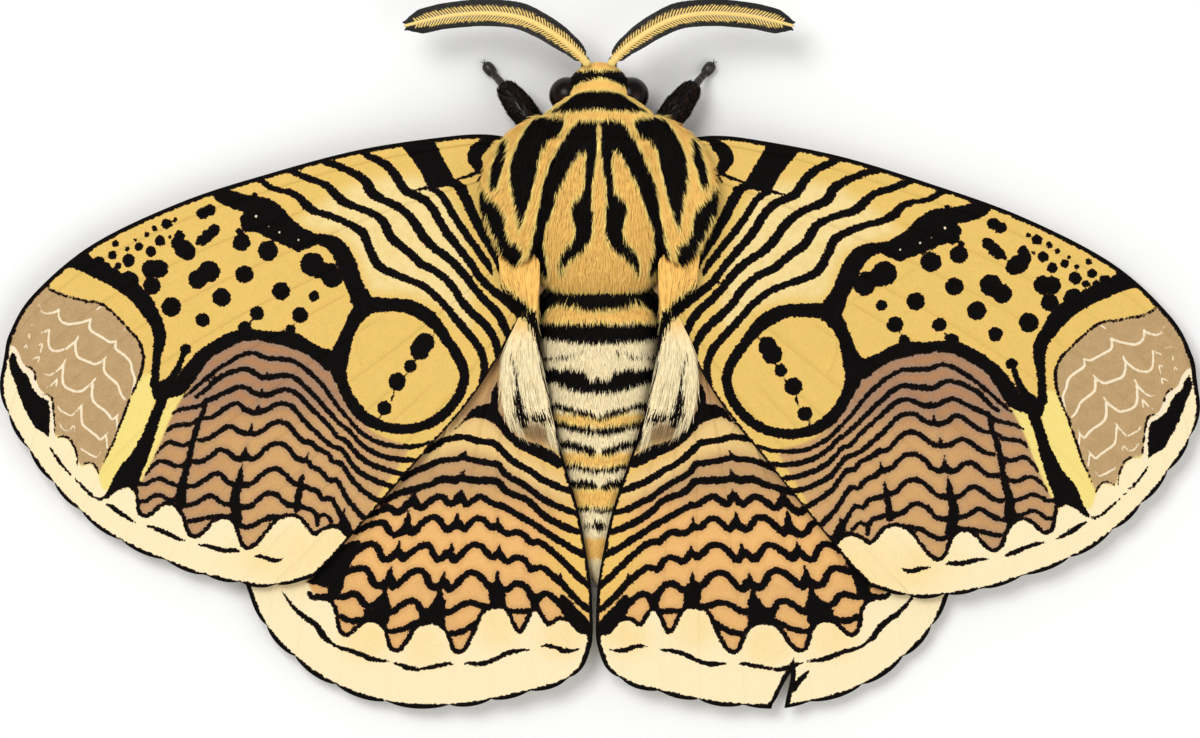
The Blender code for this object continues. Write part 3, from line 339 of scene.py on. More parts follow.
moundLines = {
    "line1": [
        (184, 397, 1.2), (192, 391, 2), (200, 384, 2.2), (210, 376, 2.4), (220, 368, 2.4), (230, 362, 2.4),
        (241, 355.5, 2.5), (253, 352.8, 2.4), (262, 356, 2.8), (270, 358.5, 2.6), (282, 359, 2.8),
        (292, 360.5, 2.6), (302, 366, 2.6), (312, 374, 2.6), (321, 383, 2.6), (329, 393, 2.4),
        (336, 403, 2.3), (344, 413, 2.2), (353, 423.5, 2.4), (361, 431.5, 2.6), (371, 438.5, 2.6),
        (382, 443.5, 2.6), (395, 446, 2.6), (410, 446.5, 2.6), (422, 445, 2.4), (432, 441, 1.2)],
    "line2": [
        (196, 397, 2), (207, 389, 2.6), (216, 380, 3), (226, 374.5, 2.8), (236, 370.5, 2.6), (247, 369, 2.5),
        (255, 373, 3), (262, 377, 3), (270, 377, 3.2), (280, 376, 3), (290, 376, 2.8), (299, 380.5, 2.8),
        (308, 389, 2.8), (317, 398, 2.8), (325, 407, 2.6), (333, 416, 2.6), (341, 424, 2.6), (350, 431, 2.4),
        (357, 439, 2.6), (366, 447, 3), (377, 453.5, 3), (389, 457.5, 3), (402, 459.5, 3), (412, 460, 2.8),
        (419, 459, 1.2)],
    "line3": [
        (172, 414, 1), (180, 410, 2.2), (190, 408, 2.4), (200, 405.5, 2.6), (209, 400, 2.8),
        (219, 395.5, 2.8), (229, 391.5, 2.6), (239, 386.5, 2.5), (247, 388, 2.8), (254, 392.5, 3),
        (262, 394.5, 3), (271, 394.5, 3), (279, 390.5, 2.8), (289, 389.5, 2.6), (297, 393.5, 2.8),
        (306, 402, 2.8), (314, 410.5, 2.6), (323, 419, 2.6), (331, 427.5, 2.6), (338, 436.5, 2.6),
        (347, 441, 2.8), (353, 448.5, 2.8), (361, 457, 3), (371, 463.5, 3), (383, 468.5, 3), (395, 472, 3),
        (405, 474, 2.4)],
    "line4": [
        (203, 418.5, 2.4), (212, 417, 2.6), (221, 411.5, 2.8), (230, 405.5, 2.6), (238, 403.5, 2.6),
        (245, 409, 3), (252, 412, 3), (260, 412, 3), (268, 409.5, 2.8), (276, 404.5, 2.7), (285, 403.5, 2.8),
        (293, 407, 2.8), (301, 416, 2.8), (309, 425, 2.8), (317, 432.5, 2.8), (325, 440, 2.7),
        (333, 446, 2.7), (342, 449.5, 2.8), (348, 457, 2.8), (354, 466, 3), (362, 473, 3), (371, 478, 3),
        (381, 482.5, 3), (392, 486, 2.8), (397, 487, 1)],
    "line5": [
        (199, 440.5, 2.4), (208, 438.5, 2.6), (217, 433.5, 2.8), (226, 427.5, 2.6), (233, 427, 2.6),
        (240, 431.5, 3), (247, 433.5, 3), (256, 433.5, 3), (264, 429.5, 2.8), (272, 423.5, 2.8),
        (281, 421.5, 2.8), (289, 425, 2.8), (296, 433.5, 2.8), (303, 440.5, 3), (310, 442, 3.4),
        (315, 446, 3.2), (322, 450.5, 2.8), (329, 454, 2.8), (333, 461, 2.8), (341, 463, 2.8),
        (347, 471, 2.8), (353, 480, 2.9), (360, 487.5, 3), (368, 493.5, 3), (376, 499, 3), (385, 503.5, 1.5)],
    "line6": [
        (193, 461.5, 2.6), (202, 461.5, 2.8), (210, 457, 2.8), (218, 450.5, 2.8), (226, 450.5, 2.8),
        (233, 456, 3), (240, 459, 3.4), (246, 456.5, 4), (252, 459, 3), (259, 456, 2.8), (266, 448.5, 2.8),
        (274, 444, 2.8), (283, 444, 2.8), (290, 449.5, 2.8), (296, 457, 3), (303, 460.5, 3.2), (308, 461, 3),
        (313, 467, 2.9), (320, 470, 2.9), (325, 475, 2.8), (329, 480, 2.8), (337, 480, 2.8), (342, 488, 2.8),
        (348, 499, 2.9), (355, 508, 3), (362, 516, 3), (370, 522, 2)],
    "line7": [
        (188, 486, 2.8), (197, 485, 2.8), (206, 479, 2.8), (214, 474, 2.8), (221, 474.5, 2.8),
        (228, 482, 2.9), (235, 484.5, 3.2), (244, 485, 3.4), (252, 483.5, 2.9), (260, 476.5, 2.8),
        (268, 470.5, 2.8), (277, 468.5, 2.8), (285, 473.5, 2.8), (292, 481.5, 2.9), (299, 484.5, 3),
        (306, 487, 3), (313, 489.5, 2.9), (319, 492, 2.8), (323, 499, 2.8), (331, 498, 2.8), (336, 505, 2.8),
        (341, 514, 3), (345, 522, 4)],
    "line8": [
        (186, 505.5, 2.8), (195, 503.5, 2.8), (204, 498, 2.7), (212, 495.5, 2.7), (219, 500.5, 2.8),
        (226, 504, 2.8), (234, 504, 3), (243, 507, 3.4), (252, 505.5, 2.9), (259, 498.5, 2.8),
        (267, 493.5, 2.8), (276, 494, 2.8), (283, 501, 2.9), (290, 505, 3), (298, 504.5, 3.4),
        (306, 508, 2.8), (313, 510, 2.8), (317, 517, 2.6), (318, 524, 2.8)],
    "line9": [
        (189, 521, 2.6), (198, 520, 2.6), (207, 517.5, 2.6), (217, 516.5, 2.8), (228, 516.5, 3),
        (236, 514, 4)],
    "line10": [
        (240, 525, 3), (248, 527, 2.8), (256, 524, 2.8), (264, 519.5, 2.8), (273, 517, 3), (283, 517, 2.4)],
    "line11": [(318, 518, 2), (323, 514.5, 2.2), (328, 516, 2.2), (332, 521, 2.4)],
    "lobe1": [(165, 434, 1), (171, 427.5, 2.2), (181, 425, 2.6), (191, 424, 2.4), (198, 419, 2)],
    "lobe2": [
        (155, 457, 0.8), (161, 448, 2), (169, 442, 2.4), (177, 444, 2.6), (184, 446, 2.4), (191, 442, 2.4)],
    "lobe3": [
        (145, 476, 0.8), (151, 468, 2), (159, 461.5, 2.4), (167, 462, 2.6), (174, 465.5, 2.6),
        (182, 465.5, 2.4), (188, 462, 2.4)],
    "lobe4": [
        (139, 484, 2.2), (146, 484, 2.4), (153, 480, 2.4), (160, 478.5, 2.4), (168, 482, 2.4),
        (176, 485, 2.4), (182, 484, 2.4)],
    "lobe5": [
        (139, 502, 2.2), (146, 501, 2.4), (153, 496.5, 2.4), (160, 495, 2.4), (168, 499, 2.4),
        (177, 501, 2.4)],
    "spike1": [
        (206, 399, 2), (204, 410, 2.6), (199, 422, 3), (195, 435, 3.2), (191, 450, 3), (189, 462, 3.4),
        (185, 475, 4), (182, 487, 5), (181, 500, 6), (180, 508, 4)],
    "spike2": [
        (243, 464, 0.6), (241, 472, 2.2), (240, 480, 4), (237, 490, 4.5), (235, 500, 5.5), (236, 510, 5.5),
        (238, 520, 5)],
    "spike3": [(247, 444, 0.5), (245.5, 452, 2.5), (243, 458, 4)],
    "spike4": [(252, 424, 0.6), (251, 431, 2.6)],
    "spike5": [(259, 404, 0.6), (258, 410, 2.6)],
    "spike6": [(262.5, 389, 0.6), (262, 394, 2.5)],
    "spike7": [(268, 372, 0.6), (268, 376, 2.5)],
    "spike8": [(308.5, 453, 0.6), (307, 459, 2.6)],
    "spike9": [(304, 472, 0.6), (302, 480, 3), (300, 490, 3.4), (298, 500, 3.6), (297, 508, 4.5)],
    "spike10": [(345, 509, 0.6), (344, 516, 3), (345, 524, 6), (350, 534, 5), (356, 541, 3)],
    "teeth": [
        (136, 488, 2), (137.5, 500, 2), (139, 511, 2.3), (144, 516, 2.4), (150, 514.5, 2.3), (157, 508, 2.2),
        (165, 503.5, 2.2), (173, 504, 2.2), (180, 510, 2.5), (184, 519, 2.4), (187, 529, 2.3),
        (192, 535.5, 2.4), (199, 535, 2.3), (206, 529, 2.2), (213, 521.5, 2.2), (221, 517, 2.2),
        (230, 518, 2.3), (236, 525, 2.5), (239, 534, 2.4), (242, 543, 2.4), (248, 547.5, 2.4),
        (255, 544.5, 2.3), (262, 537, 2.2), (269, 528.5, 2.2), (276, 520, 2.2), (284, 515.5, 2.2),
        (293, 515, 2.2), (301, 518, 2.3), (307, 525, 2.4), (312, 531.5, 2.4), (316, 534, 2.4),
        (322, 529.5, 2.2), (330, 526.5, 2.2), (339, 526.5, 2.8), (346, 531, 3.5), (352, 538, 3.5),
        (357, 544, 2.5)],
}
forewingEdgeMarks = {
    "dash1": [(106, 504, 0.6), (112, 507, 2.4), (120, 513, 2.6), (128, 518, 2), (136, 523, 0.5)],
    "dash2": [
        (146, 526, 0.6), (153, 527.5, 2), (163, 531.5, 2.4), (173, 536, 2.6), (181, 540, 1.6),
        (185, 540.5, 0.5)],
    "dash3": [
        (198, 545, 0.5), (206, 545.5, 2), (215, 548, 2.4), (226, 550.5, 2.8), (236, 550.5, 2.2),
        (240, 552, 0.5)],
    "dash4": [(254, 556, 0.5), (261, 556.5, 2), (269, 559, 2.4), (277, 560.5, 2.2), (284, 558, 0.6)],
    "tipPatchLine": [
        (45, 285, 1.2), (52, 290, 1.4), (62, 295, 1.5), (75, 298, 1.4), (85, 301, 1.4), (100, 303.5, 1.5),
        (110, 310, 1.5), (120, 319.5, 1.4), (130, 330.5, 1.4), (138, 340, 1.6), (142.5, 350, 1.8),
        (143.5, 360, 1.8), (141, 373, 1.6), (136, 386, 1.4), (130, 399, 1.4), (125, 412, 1.4),
        (119, 427, 1.4), (113, 443, 1.3), (108, 453, 1.2), (103.5, 463, 0.7)],
    "scallop1": [(26, 366.5, 0.5), (31, 368, 1), (34.5, 373, 1), (35.5, 380, 0.8)],
    "scallop2": [
        (42, 394, 0.6), (48, 394.5, 1.1), (52, 399, 1.2), (53.5, 410, 1), (54.5, 425, 0.9), (54.5, 433, 0.5)],
    "scallop3": [
        (58, 437, 0.6), (65, 436.5, 1.2), (71, 441, 1.2), (75.5, 450, 1.2), (77.5, 458, 1), (77, 465, 0.6)],
    "scallop4": [(80, 466.5, 0.5), (85, 463.5, 1), (91, 463, 1.1), (96, 467, 1.2), (98.5, 473, 0.8)],
    "slant1": [(49, 446, 0.7), (55, 456, 1.4), (62, 465, 1.5), (71, 475, 0.7)],
    "slant2": [
        (75, 479, 0.8), (83, 487, 1.5), (91, 495, 1.6), (97, 498.5, 1.6), (101, 499, 1.4), (107, 496, 2)],
}
forewingSpots = [
    (116, 243.5, 3), (112.5, 255, 4.3), (127.5, 249, 2), (128.5, 260.5, 6), (135.5, 240, 1.6),
    (139.5, 246.5, 4), (147, 234.5, 2.4), (151, 251.5, 5), (155, 228.5, 2.8), (160.5, 241, 5),
    (170, 237, 1.5), (167.3, 224, 5), (175.5, 219.8, 2), (151, 269, 8.8), (159, 269, 9), (152, 286, 8.5),
    (180, 236, 5), (178.5, 243, 6.8), (184, 249, 9), (188, 252, 8), (203, 213.5, 5.6), (210, 210, 5.6),
    (214.5, 230, 5.8), (208, 236, 6), (203, 240, 5.5), (198, 243, 2.2), (209.5, 271.5, 10.5),
    (198, 279.5, 9.2), (245, 274.5, 8.6), (281.5, 291, 8.6), (171.5, 307, 9.5), (222, 297.5, 9),
    (203, 320, 6.7), (257.5, 313.5, 6.7), (300.5, 315, 7.7), (314.5, 296.5, 5), (186, 349, 5.3),
    (242, 242.5, 8.6), (268.5, 251, 9.8), (299, 243, 8.5), (246, 219, 5.5), (255, 196.5, 3.2), (240, 232, 3),
    (313, 264.5, 11.8), (332.5, 277, 10.5), (84, 258, 6), (99, 262, 5.5), (107, 266, 4), (118, 266, 3.5),
    (129, 281, 9.5), (245, 328, 6.5), (291, 330, 5), (425.5, 342.5, 9.3), (420.5, 350, 9.8), (411, 366, 6),
    (398, 381.5, 8.5), (385, 408, 7), (249, 225, 7), (258, 225, 7.5), (269, 230, 8), (279, 236, 7)]
forewingPatches = {
    "costalBar": [
        (400, 141), (434, 138), (440, 152), (448, 166), (453, 176), (457, 181), (467, 186), (468, 193),
        (458, 190), (447, 187), (432, 190), (428, 187), (420, 170), (411, 158), (403, 148)],
    "fork": [
        (320, 348), (333, 350), (342, 342), (346, 360), (344, 385), (338, 385), (330, 368), (318, 358),
        (308, 352)],
    "barFoot": [(118, 476), (142, 468), (139, 484), (136, 492), (128, 488), (120, 488), (112, 493)],
    "tipMark": [
        (12, 352), (15.5, 356), (17, 362), (20, 368), (27, 375), (31, 384), (34, 391), (41, 397), (48, 401),
        (50, 409), (50, 422), (49, 438), (43, 433), (34, 427), (30, 420), (24, 408), (18, 393), (15, 383),
        (9, 368), (8, 361)],
}
# pale lines and specks on the forewing's tip and in its black bar
tipLines = {
    "crest1": [(38, 304, 0.6), (41, 307, 0.7)],
    "crest2": [
        (41, 311, 1), (46, 313.5, 1.2), (52, 313, 1.2), (57, 311, 1.2), (59, 309, 0.9), (58.5, 315, 0.9)],
    "crest3": [
        (59, 317, 1), (61, 321, 1.2), (67, 324, 1.3), (75, 323.5, 1.3), (83, 322, 1.2), (91, 319, 1.1)],
    "crest4": [
        (91, 319, 0.9), (89.5, 325, 1.2), (90.5, 330, 1.3), (97, 334.5, 1.3), (104, 338.5, 1.3),
        (110, 342, 1.3), (116.5, 341, 0.9)],
    "crest5": [
        (116.5, 341, 0.9), (115.5, 348, 1.3), (120, 352, 1.3), (126, 356.5, 1.3), (131, 363, 1.2),
        (132, 370, 1.2), (135, 379, 1.2), (134, 386, 1.2), (132, 392, 0.8)],
    "crest6": [(40, 333, 0.7), (45, 331.5, 1), (49.5, 329, 0.8)],
    "crest7": [
        (49.5, 329, 0.8), (48.5, 337, 1), (49, 346, 1.1), (52, 350, 1.2), (57, 351, 1.2), (64, 349.5, 1.2),
        (70, 346, 1.2), (76, 341, 1.2), (78.5, 336, 0.8)],
    "crest8": [
        (75.5, 342, 1.2), (75.5, 350, 1.2), (78, 357, 1.3), (84, 360, 1.3), (90, 362.5, 1.3), (95, 364, 1.3),
        (101, 362, 1.2), (106.5, 357, 0.8)],
    "crest9": [
        (104.5, 361, 1.2), (104, 370, 1.3), (107, 375, 1.3), (113, 380, 1.3), (118, 385, 1.2),
        (120, 391, 1.2), (123, 397, 1.2), (126, 400, 0.8)],
    "crest10": [(44, 374, 0.6), (50, 375, 1), (56, 371.5, 1), (62, 366, 1.1), (66, 359, 0.7)],
    "crest11": [
        (63.5, 365, 1.2), (62.5, 375, 1.2), (63, 383, 1.3), (67, 388, 1.3), (74, 391, 1.3), (80, 391.5, 1.3),
        (86, 388, 1.2), (92, 383, 1.1), (95.5, 378, 0.7)],
    "crest12": [
        (93, 384, 1.2), (92, 393, 1.3), (93, 400, 1.3), (97, 405, 1.3), (104, 410, 1.2), (109, 415, 1.2),
        (112, 419.5, 1.1), (116, 417, 1), (119, 412, 0.7)],
    "crest13": [(117, 417, 1), (117.5, 427, 1), (118, 434, 0.6)],
    "crest14": [(46, 388, 0.6), (51, 385, 0.9), (57, 379, 0.9), (56.5, 384, 0.8), (55.5, 388, 0.5)],
    "crest15": [(58, 406, 0.6), (60, 410, 0.9), (66, 413.5, 1), (71, 415.5, 1), (77, 411, 1), (83, 403, 0.6)],
    "crest16": [
        (81.5, 408, 1.1), (81.5, 418, 1.1), (83, 425, 1.2), (89, 430, 1.2), (96, 435.5, 1.2),
        (101, 439.5, 1.1), (108, 432, 0.6)],
    "crest17": [(106.5, 437, 0.9), (107.5, 448, 0.8)],
    "crest18": [(59, 423, 0.6), (63, 429, 0.8), (68, 430.5, 0.8), (74, 426, 0.7), (74.5, 432, 0.6)],
    "crest19": [(80, 448, 0.7), (86, 452, 1), (92, 455.5, 1), (97, 457, 0.9), (101, 452, 0.6)],
    "fleck1": [(31, 325, 0.8), (37, 326, 0.7)],
    "fleck2": [(29, 334, 0.8), (29, 338, 0.9)],
    "fleck3": [(36, 346, 0.6), (42, 344, 0.9), (40.5, 352, 0.7)],
    "fleck4": [(33, 359, 0.6), (39, 357, 0.9), (38, 362, 0.7)],
    "fleck5": [(24, 348, 0.6), (26, 345, 0.8), (27, 348, 0.6)],
    "fleck6": [(97, 309.5, 0.7), (101, 306.5, 0.9)],
    "fleck7": [(122, 332, 0.7), (126, 329, 0.9)],
    "tipMarkEdge": [
        (8, 346, 1.5), (14, 349, 2), (18, 356, 1.8), (21, 364, 1.8), (26, 369.5, 2.2), (32, 375, 2.6),
        (35, 384, 2.4), (38.5, 391.5, 2.4), (46, 397.5, 2.2), (51, 404, 2), (52, 415, 1.8), (52, 430, 1.8),
        (52.5, 441, 1.6)],
}
barSpecks = [(256.5, 216.5, 1.5), (269, 227, 0.9), (280, 232.5, 1.3), (299, 240, 1.2)]

# the wing's areas of ground colour
forewingAreas = {
    "tip": [
        (40, 283), (52, 290), (75, 298), (100, 303.5), (120, 319.5), (138, 340), (143.5, 360), (136, 386),
        (125, 412), (113, 443), (103, 463), (98.5, 474), (91, 464), (80, 466), (76, 452), (66, 438),
        (55, 436), (53, 410), (47, 396), (37, 391), (32, 373), (20, 362), (14, 350), (4, 345), (0, 330)],
    "margin": [
        (4, 345), (14, 350), (20, 362), (32, 373), (37, 391), (47, 396), (53, 410), (55, 436), (66, 438),
        (76, 452), (80, 466), (91, 464), (98, 474), (103, 490), (118, 488), (130, 488), (137, 500),
        (141, 516), (155, 510), (168, 504), (180, 510), (187, 530), (198, 536), (213, 521), (228, 517),
        (238, 530), (244, 546), (256, 544), (275, 520), (290, 515), (304, 520), (316, 534), (330, 527),
        (345, 530), (357, 545), (340, 600), (100, 590), (-20, 480), (-20, 345)],
    "sulphur": [
        (140, 375), (152, 375), (155, 400), (135, 455), (106, 496), (92, 497), (48, 442), (54, 436),
        (66, 438), (76, 452), (80, 466), (91, 464), (98, 474), (113, 443), (130, 400)],
    "paleStrip": [
        (166, 400), (186, 390), (178, 404), (168, 424), (158, 448), (141, 482), (138, 478), (150, 440)],
    "mound": [
        (182, 396), (190, 388), (200, 366), (215, 350), (240, 338), (265, 339), (290, 342), (315, 354),
        (332, 370), (340, 392), (352, 410), (372, 430), (392, 440), (409, 446), (401, 463), (380, 494),
        (352, 545), (345, 530), (330, 527), (316, 534), (304, 520), (290, 515), (275, 520), (256, 544),
        (246, 546), (238, 530), (228, 517), (213, 521), (198, 536), (187, 530), (180, 510), (168, 504),
        (145, 517), (138, 500), (139, 481), (158, 446), (170, 418)],
    "cream": [
        (300, 222), (345, 190), (385, 178), (430, 182), (452, 205), (464, 240), (472, 285), (468, 330),
        (440, 305), (400, 292), (372, 288), (352, 244)],
}


def wingInk(places, strokeSets, spots, patches):
    ink = np.full(len(places), -14.0)
    for strokes in strokeSets:
        for stroke in strokes.values():
            strokeField(ink, places, stroke)
    roundField(ink, places, [(x, y, radius + 0.5) for x, y, radius in spots])
    for outline in patches.values():
        ink = np.maximum(ink, insideField(places, outline))
    return ink


def edgeInk(wing, plan):
    # the black edge line: half width less the distance from the wing's own outline, in millimetres
    ink = np.full(len(plan), -5.0)
    for name, width in wing["edgeLines"].items():
        line = smoothPath(wing[name], 10)[0]
        gap = np.min([lineGap(plan, a, b)[0] for a, b in zip(line[:-1], line[1:])], axis=0)
        ink = np.maximum(ink, width - gap)
    return ink


def addValues(mesh, values):
    for name, found in values.items():
        layer = mesh.attributes.new(name, "FLOAT", "POINT")
        layer.data.foreach_set("value", np.asarray(found, np.float32))


def vertexPlaces(mesh):
    found = np.zeros(len(mesh.vertices) * 3)
    mesh.vertices.foreach_get("co", found)
    return found.reshape(-1, 3) / mm


def joinForms(name, forms):
    bpy.ops.object.select_all(action="DESELECT")
    for form in forms:
        form.select_set(True)
    bpy.context.view_layer.objects.active = forms[0]
    bpy.ops.object.join()
    joined = bpy.context.object
    joined.name = name
    joined.data.name = name
    return joined


def layGrid(name, columns, rows, places, values):
    # a grid primitive whose vertices are laid over the wing
    bpy.ops.mesh.primitive_grid_add(x_subdivisions=columns, y_subdivisions=rows, size=0.1)
    obj = bpy.context.object
    obj.name = name
    bpy.ops.object.transform_apply(location=True, rotation=True, scale=True)
    obj.data.vertices.foreach_set("co", (places * mm).ravel())
    addValues(obj.data, values)
    while obj.data.uv_layers:
        obj.data.uv_layers.remove(obj.data.uv_layers[0])
    bpy.ops.object.select_all(action="DESELECT")
    return obj


def makeWing(name, side, top, bottom, uShares, vShares, values):
    # the upper side is fine enough for its markings, and the lower side is bridged to it at the rim
    rows, columns, step = len(uShares), len(vShares), wingShape["under"]
    across, along = np.meshgrid(vShares, uShares)
    flat = np.stack([across.ravel() * 0.48 + 0.01, along.ravel() * 0.98 + 0.01], axis=-1)
    kept = np.arange(rows * columns).reshape(rows, columns)[::step, ::step].ravel()
    mirror = np.array([side, 1.0, 1.0])
    over = {**values, "mapX": flat[:, 0], "mapY": flat[:, 1]}
    upper = layGrid(name, columns - 1, rows - 1, top * mirror, over)
    under = {key: found[kept] for key, found in values.items()}
    under.update({"mapX": flat[kept, 0] + 0.5, "mapY": flat[kept, 1]})
    lower = layGrid(name, (columns - 1) // step, (rows - 1) // step, bottom[kept] * mirror, under)
    wing = joinForms(name, [upper, lower])
    bpy.ops.object.mode_set(mode="EDIT")
    bpy.ops.mesh.select_mode(type="EDGE")
    bpy.ops.mesh.select_all(action="DESELECT")
    bpy.ops.mesh.select_non_manifold()
    bpy.ops.mesh.bridge_edge_loops()
    bpy.ops.mesh.select_all(action="SELECT")
    bpy.ops.mesh.normals_make_consistent(inside=False)
    bpy.ops.object.mode_set(mode="OBJECT")
    mesh = wing.data
    corners = np.zeros(len(mesh.loops), np.int32)
    mesh.loops.foreach_get("vertex_index", corners)
    found = np.zeros((2, len(mesh.vertices)))
    for k, key in enumerate(("mapX", "mapY")):
        mesh.attributes[key].data.foreach_get("value", found[k])
        mesh.attributes.remove(mesh.attributes[key])
    layer = mesh.uv_layers.new(name="OFBake")
    layer.uv.foreach_set("vector", found.T[corners].astype(np.float32).ravel())
    bpy.ops.object.shade_smooth()
    bpy.ops.object.select_all(action="DESELECT")
    return wing


def wingGrid(wing):
    uShares = gridShares(wing["rowCount"], wing["rows"])
    vShares = gridShares(wing["columnCount"], wing["columns"], wing["veins"])
    u, v = [a.ravel() for a in np.meshgrid(uShares, vShares, indexing="ij")]
    plan = wingPlan(wing, u, v)
    return uShares, vShares, plan, veinRelief(wing, u, v, wing["width"])


# floor, light and camera
stage = {"floorSize": 3.0, "floorColour": (0.88, 0.88, 0.875, 1.0), "fieldWidth": 0.18, "lens": 200.0,
         "lights": {"keyLight": ((-0.35, 0.4, 0.95), 0.5, 6.7), "fillLight": ((0.6, -0.3, 0.8), 0.8, 2.9)},
         "worldStrength": 0.54,
         "middle": (0.00015, -0.00195), "wingHeight": 0.004}


def makeStage():
    bpy.ops.mesh.primitive_plane_add(size=stage["floorSize"], location=(0, 0, 0))
    floor = bpy.context.object
    floor.name = "floor"
    paint = bpy.data.materials.new("paleFloor")
    paint.use_nodes = True
    shader = paint.node_tree.nodes["Principled BSDF"]
    shader.inputs["Base Color"].default_value = stage["floorColour"]
    shader.inputs["Roughness"].default_value = 0.95
    shader.inputs["Specular IOR Level"].default_value = 0.1
    floor.data.materials.append(paint)
    for name, (place, size, power) in stage["lights"].items():
        bpy.ops.object.light_add(type="AREA", location=place)
        light = bpy.context.object
        light.name = name
        light.data.size = size
        light.data.energy = power
        light.rotation_euler = (Vector((0, 0, 0)) - Vector(place)).to_track_quat("-Z", "Y").to_euler()
    world = bpy.data.worlds.new("studio")
    bpy.context.scene.world = world
    world.use_nodes = True
    world.node_tree.nodes["Background"].inputs["Color"].default_value = (1.0, 1.0, 1.0, 1.0)
    world.node_tree.nodes["Background"].inputs["Strength"].default_value = stage["worldStrength"]
    distance = stage["lens"] / 36.0 * stage["fieldWidth"]
    bpy.ops.object.camera_add(location=(*stage["middle"], distance + stage["wingHeight"]), rotation=(0, 0, 0))
    camera = bpy.context.object
    camera.data.lens = stage["lens"]
    camera.data.sensor_width = 36.0
    bpy.context.scene.camera = camera
    bpy.context.scene.view_settings.view_transform = "Standard"
    bpy.ops.object.select_all(action="DESELECT")


makeStage()
report("stage")


def newMaterial(name):
    made = bpy.data.materials.new(name)
    made.use_nodes = True
    tree = made.node_tree
    return made, tree, tree.nodes["Principled BSDF"]


def link(tree, source, target):
    tree.links.new(source, target)


def mixColours(tree, factor, first, second, mode="MIX"):
    # first and second are colours or sockets, factor a number or a socket
    node = tree.nodes.new("ShaderNodeMix")
    node.data_type = "RGBA"
    node.blend_type = mode
    node.clamp_factor = True
    for value, socket in ((factor, node.inputs[0]), (first, node.inputs[6]), (second, node.inputs[7])):
        if hasattr(value, "is_output"):
            tree.links.new(value, socket)
        elif isinstance(value, tuple):
            socket.default_value = (*value, 1.0) if len(value) == 3 else value
        else:
            socket.default_value = value
    return node.outputs[2]


def mathNode(tree, operation, *values):
    node = tree.nodes.new("ShaderNodeMath")
    node.operation = operation
    for value, socket in zip(values, node.inputs):
        if hasattr(value, "is_output"):
            tree.links.new(value, socket)
        else:
            socket.default_value = value
    return node.outputs[0]


def stepNode(tree, value, low, high, toLow=0.0, toHigh=1.0):
    node = tree.nodes.new("ShaderNodeMapRange")
    node.interpolation_type = "SMOOTHSTEP"
    tree.links.new(value, node.inputs["Value"])
    node.inputs["From Min"].default_value = low
    node.inputs["From Max"].default_value = high
    node.inputs["To Min"].default_value = toLow
    node.inputs["To Max"].default_value = toHigh
    return node.outputs["Result"]


def valueOf(tree, name):
    node = tree.nodes.new("ShaderNodeAttribute")
    node.attribute_name = name
    return node.outputs["Fac"]


def noiseOf(tree, place, scale, detail=3.0, roughness=0.55):
    node = tree.nodes.new("ShaderNodeTexNoise")
    tree.links.new(place, node.inputs["Vector"])
    node.inputs["Scale"].default_value = scale
    node.inputs["Detail"].default_value = detail
    node.inputs["Roughness"].default_value = roughness
    return node.outputs["Fac"]


def addBump(tree, shader, height, strength, distance, invert=False):
    bump = tree.nodes.new("ShaderNodeBump")
    bump.invert = invert
    bump.inputs["Strength"].default_value = strength
    bump.inputs["Distance"].default_value = distance
    link(tree, height, bump.inputs["Height"])
    link(tree, bump.outputs["Normal"], shader.inputs["Normal"])


def hexColour(text):
    # a colour as written for the screen, made linear
    parts = [int(text[k:k + 2], 16) / 255 for k in (0, 2, 4)]
    return tuple(c / 12.92 if c <= 0.04045 else ((c + 0.055) / 1.055) ** 2.4 for c in parts)


wingColours = {  # as they show under the lights
    "ochre": "E6C26A", "ochreWarm": "ECC36C", "cream": "F4DA98", "creamDeep": "EDD08A", "taupe": "B99B6F",
    "taupeWarm": "C0A074", "margin": "FDEABE", "marginWarm": "FBDFA2", "sulphur": "F5DE84", "black": "050302",
    "blackEdge": "24100A", "paleLine": "F9E7C6",
    # each wing's browns, plain and greyed by painted shade for beside the mound's lines
    "forewing": {"brown": "B4825A", "lineShade": "A2826A", "tan": "D3A56C", "tanLineShade": "C39A6C"},
    "hindwing": {"brown": "C89C68", "lineShade": "BC966C", "tan": "F0BA74", "tanLineShade": "E0AC6C"},
    "gold": "EEC36A", "rootGold": "EDC884",
}
wingTone = 0.88  # how much less than that the scales give back
# its second value is how strongly the scales' painted sheen shows in their colour
wingFinish = {"raggedness": 1.0, "paintedSheen": 0.14, "specular": 0.08, "bump": 0.35, "bumpDepth": 0.00006}


def toneColour(text):
    return tuple(part * wingTone for part in hexColour(text))


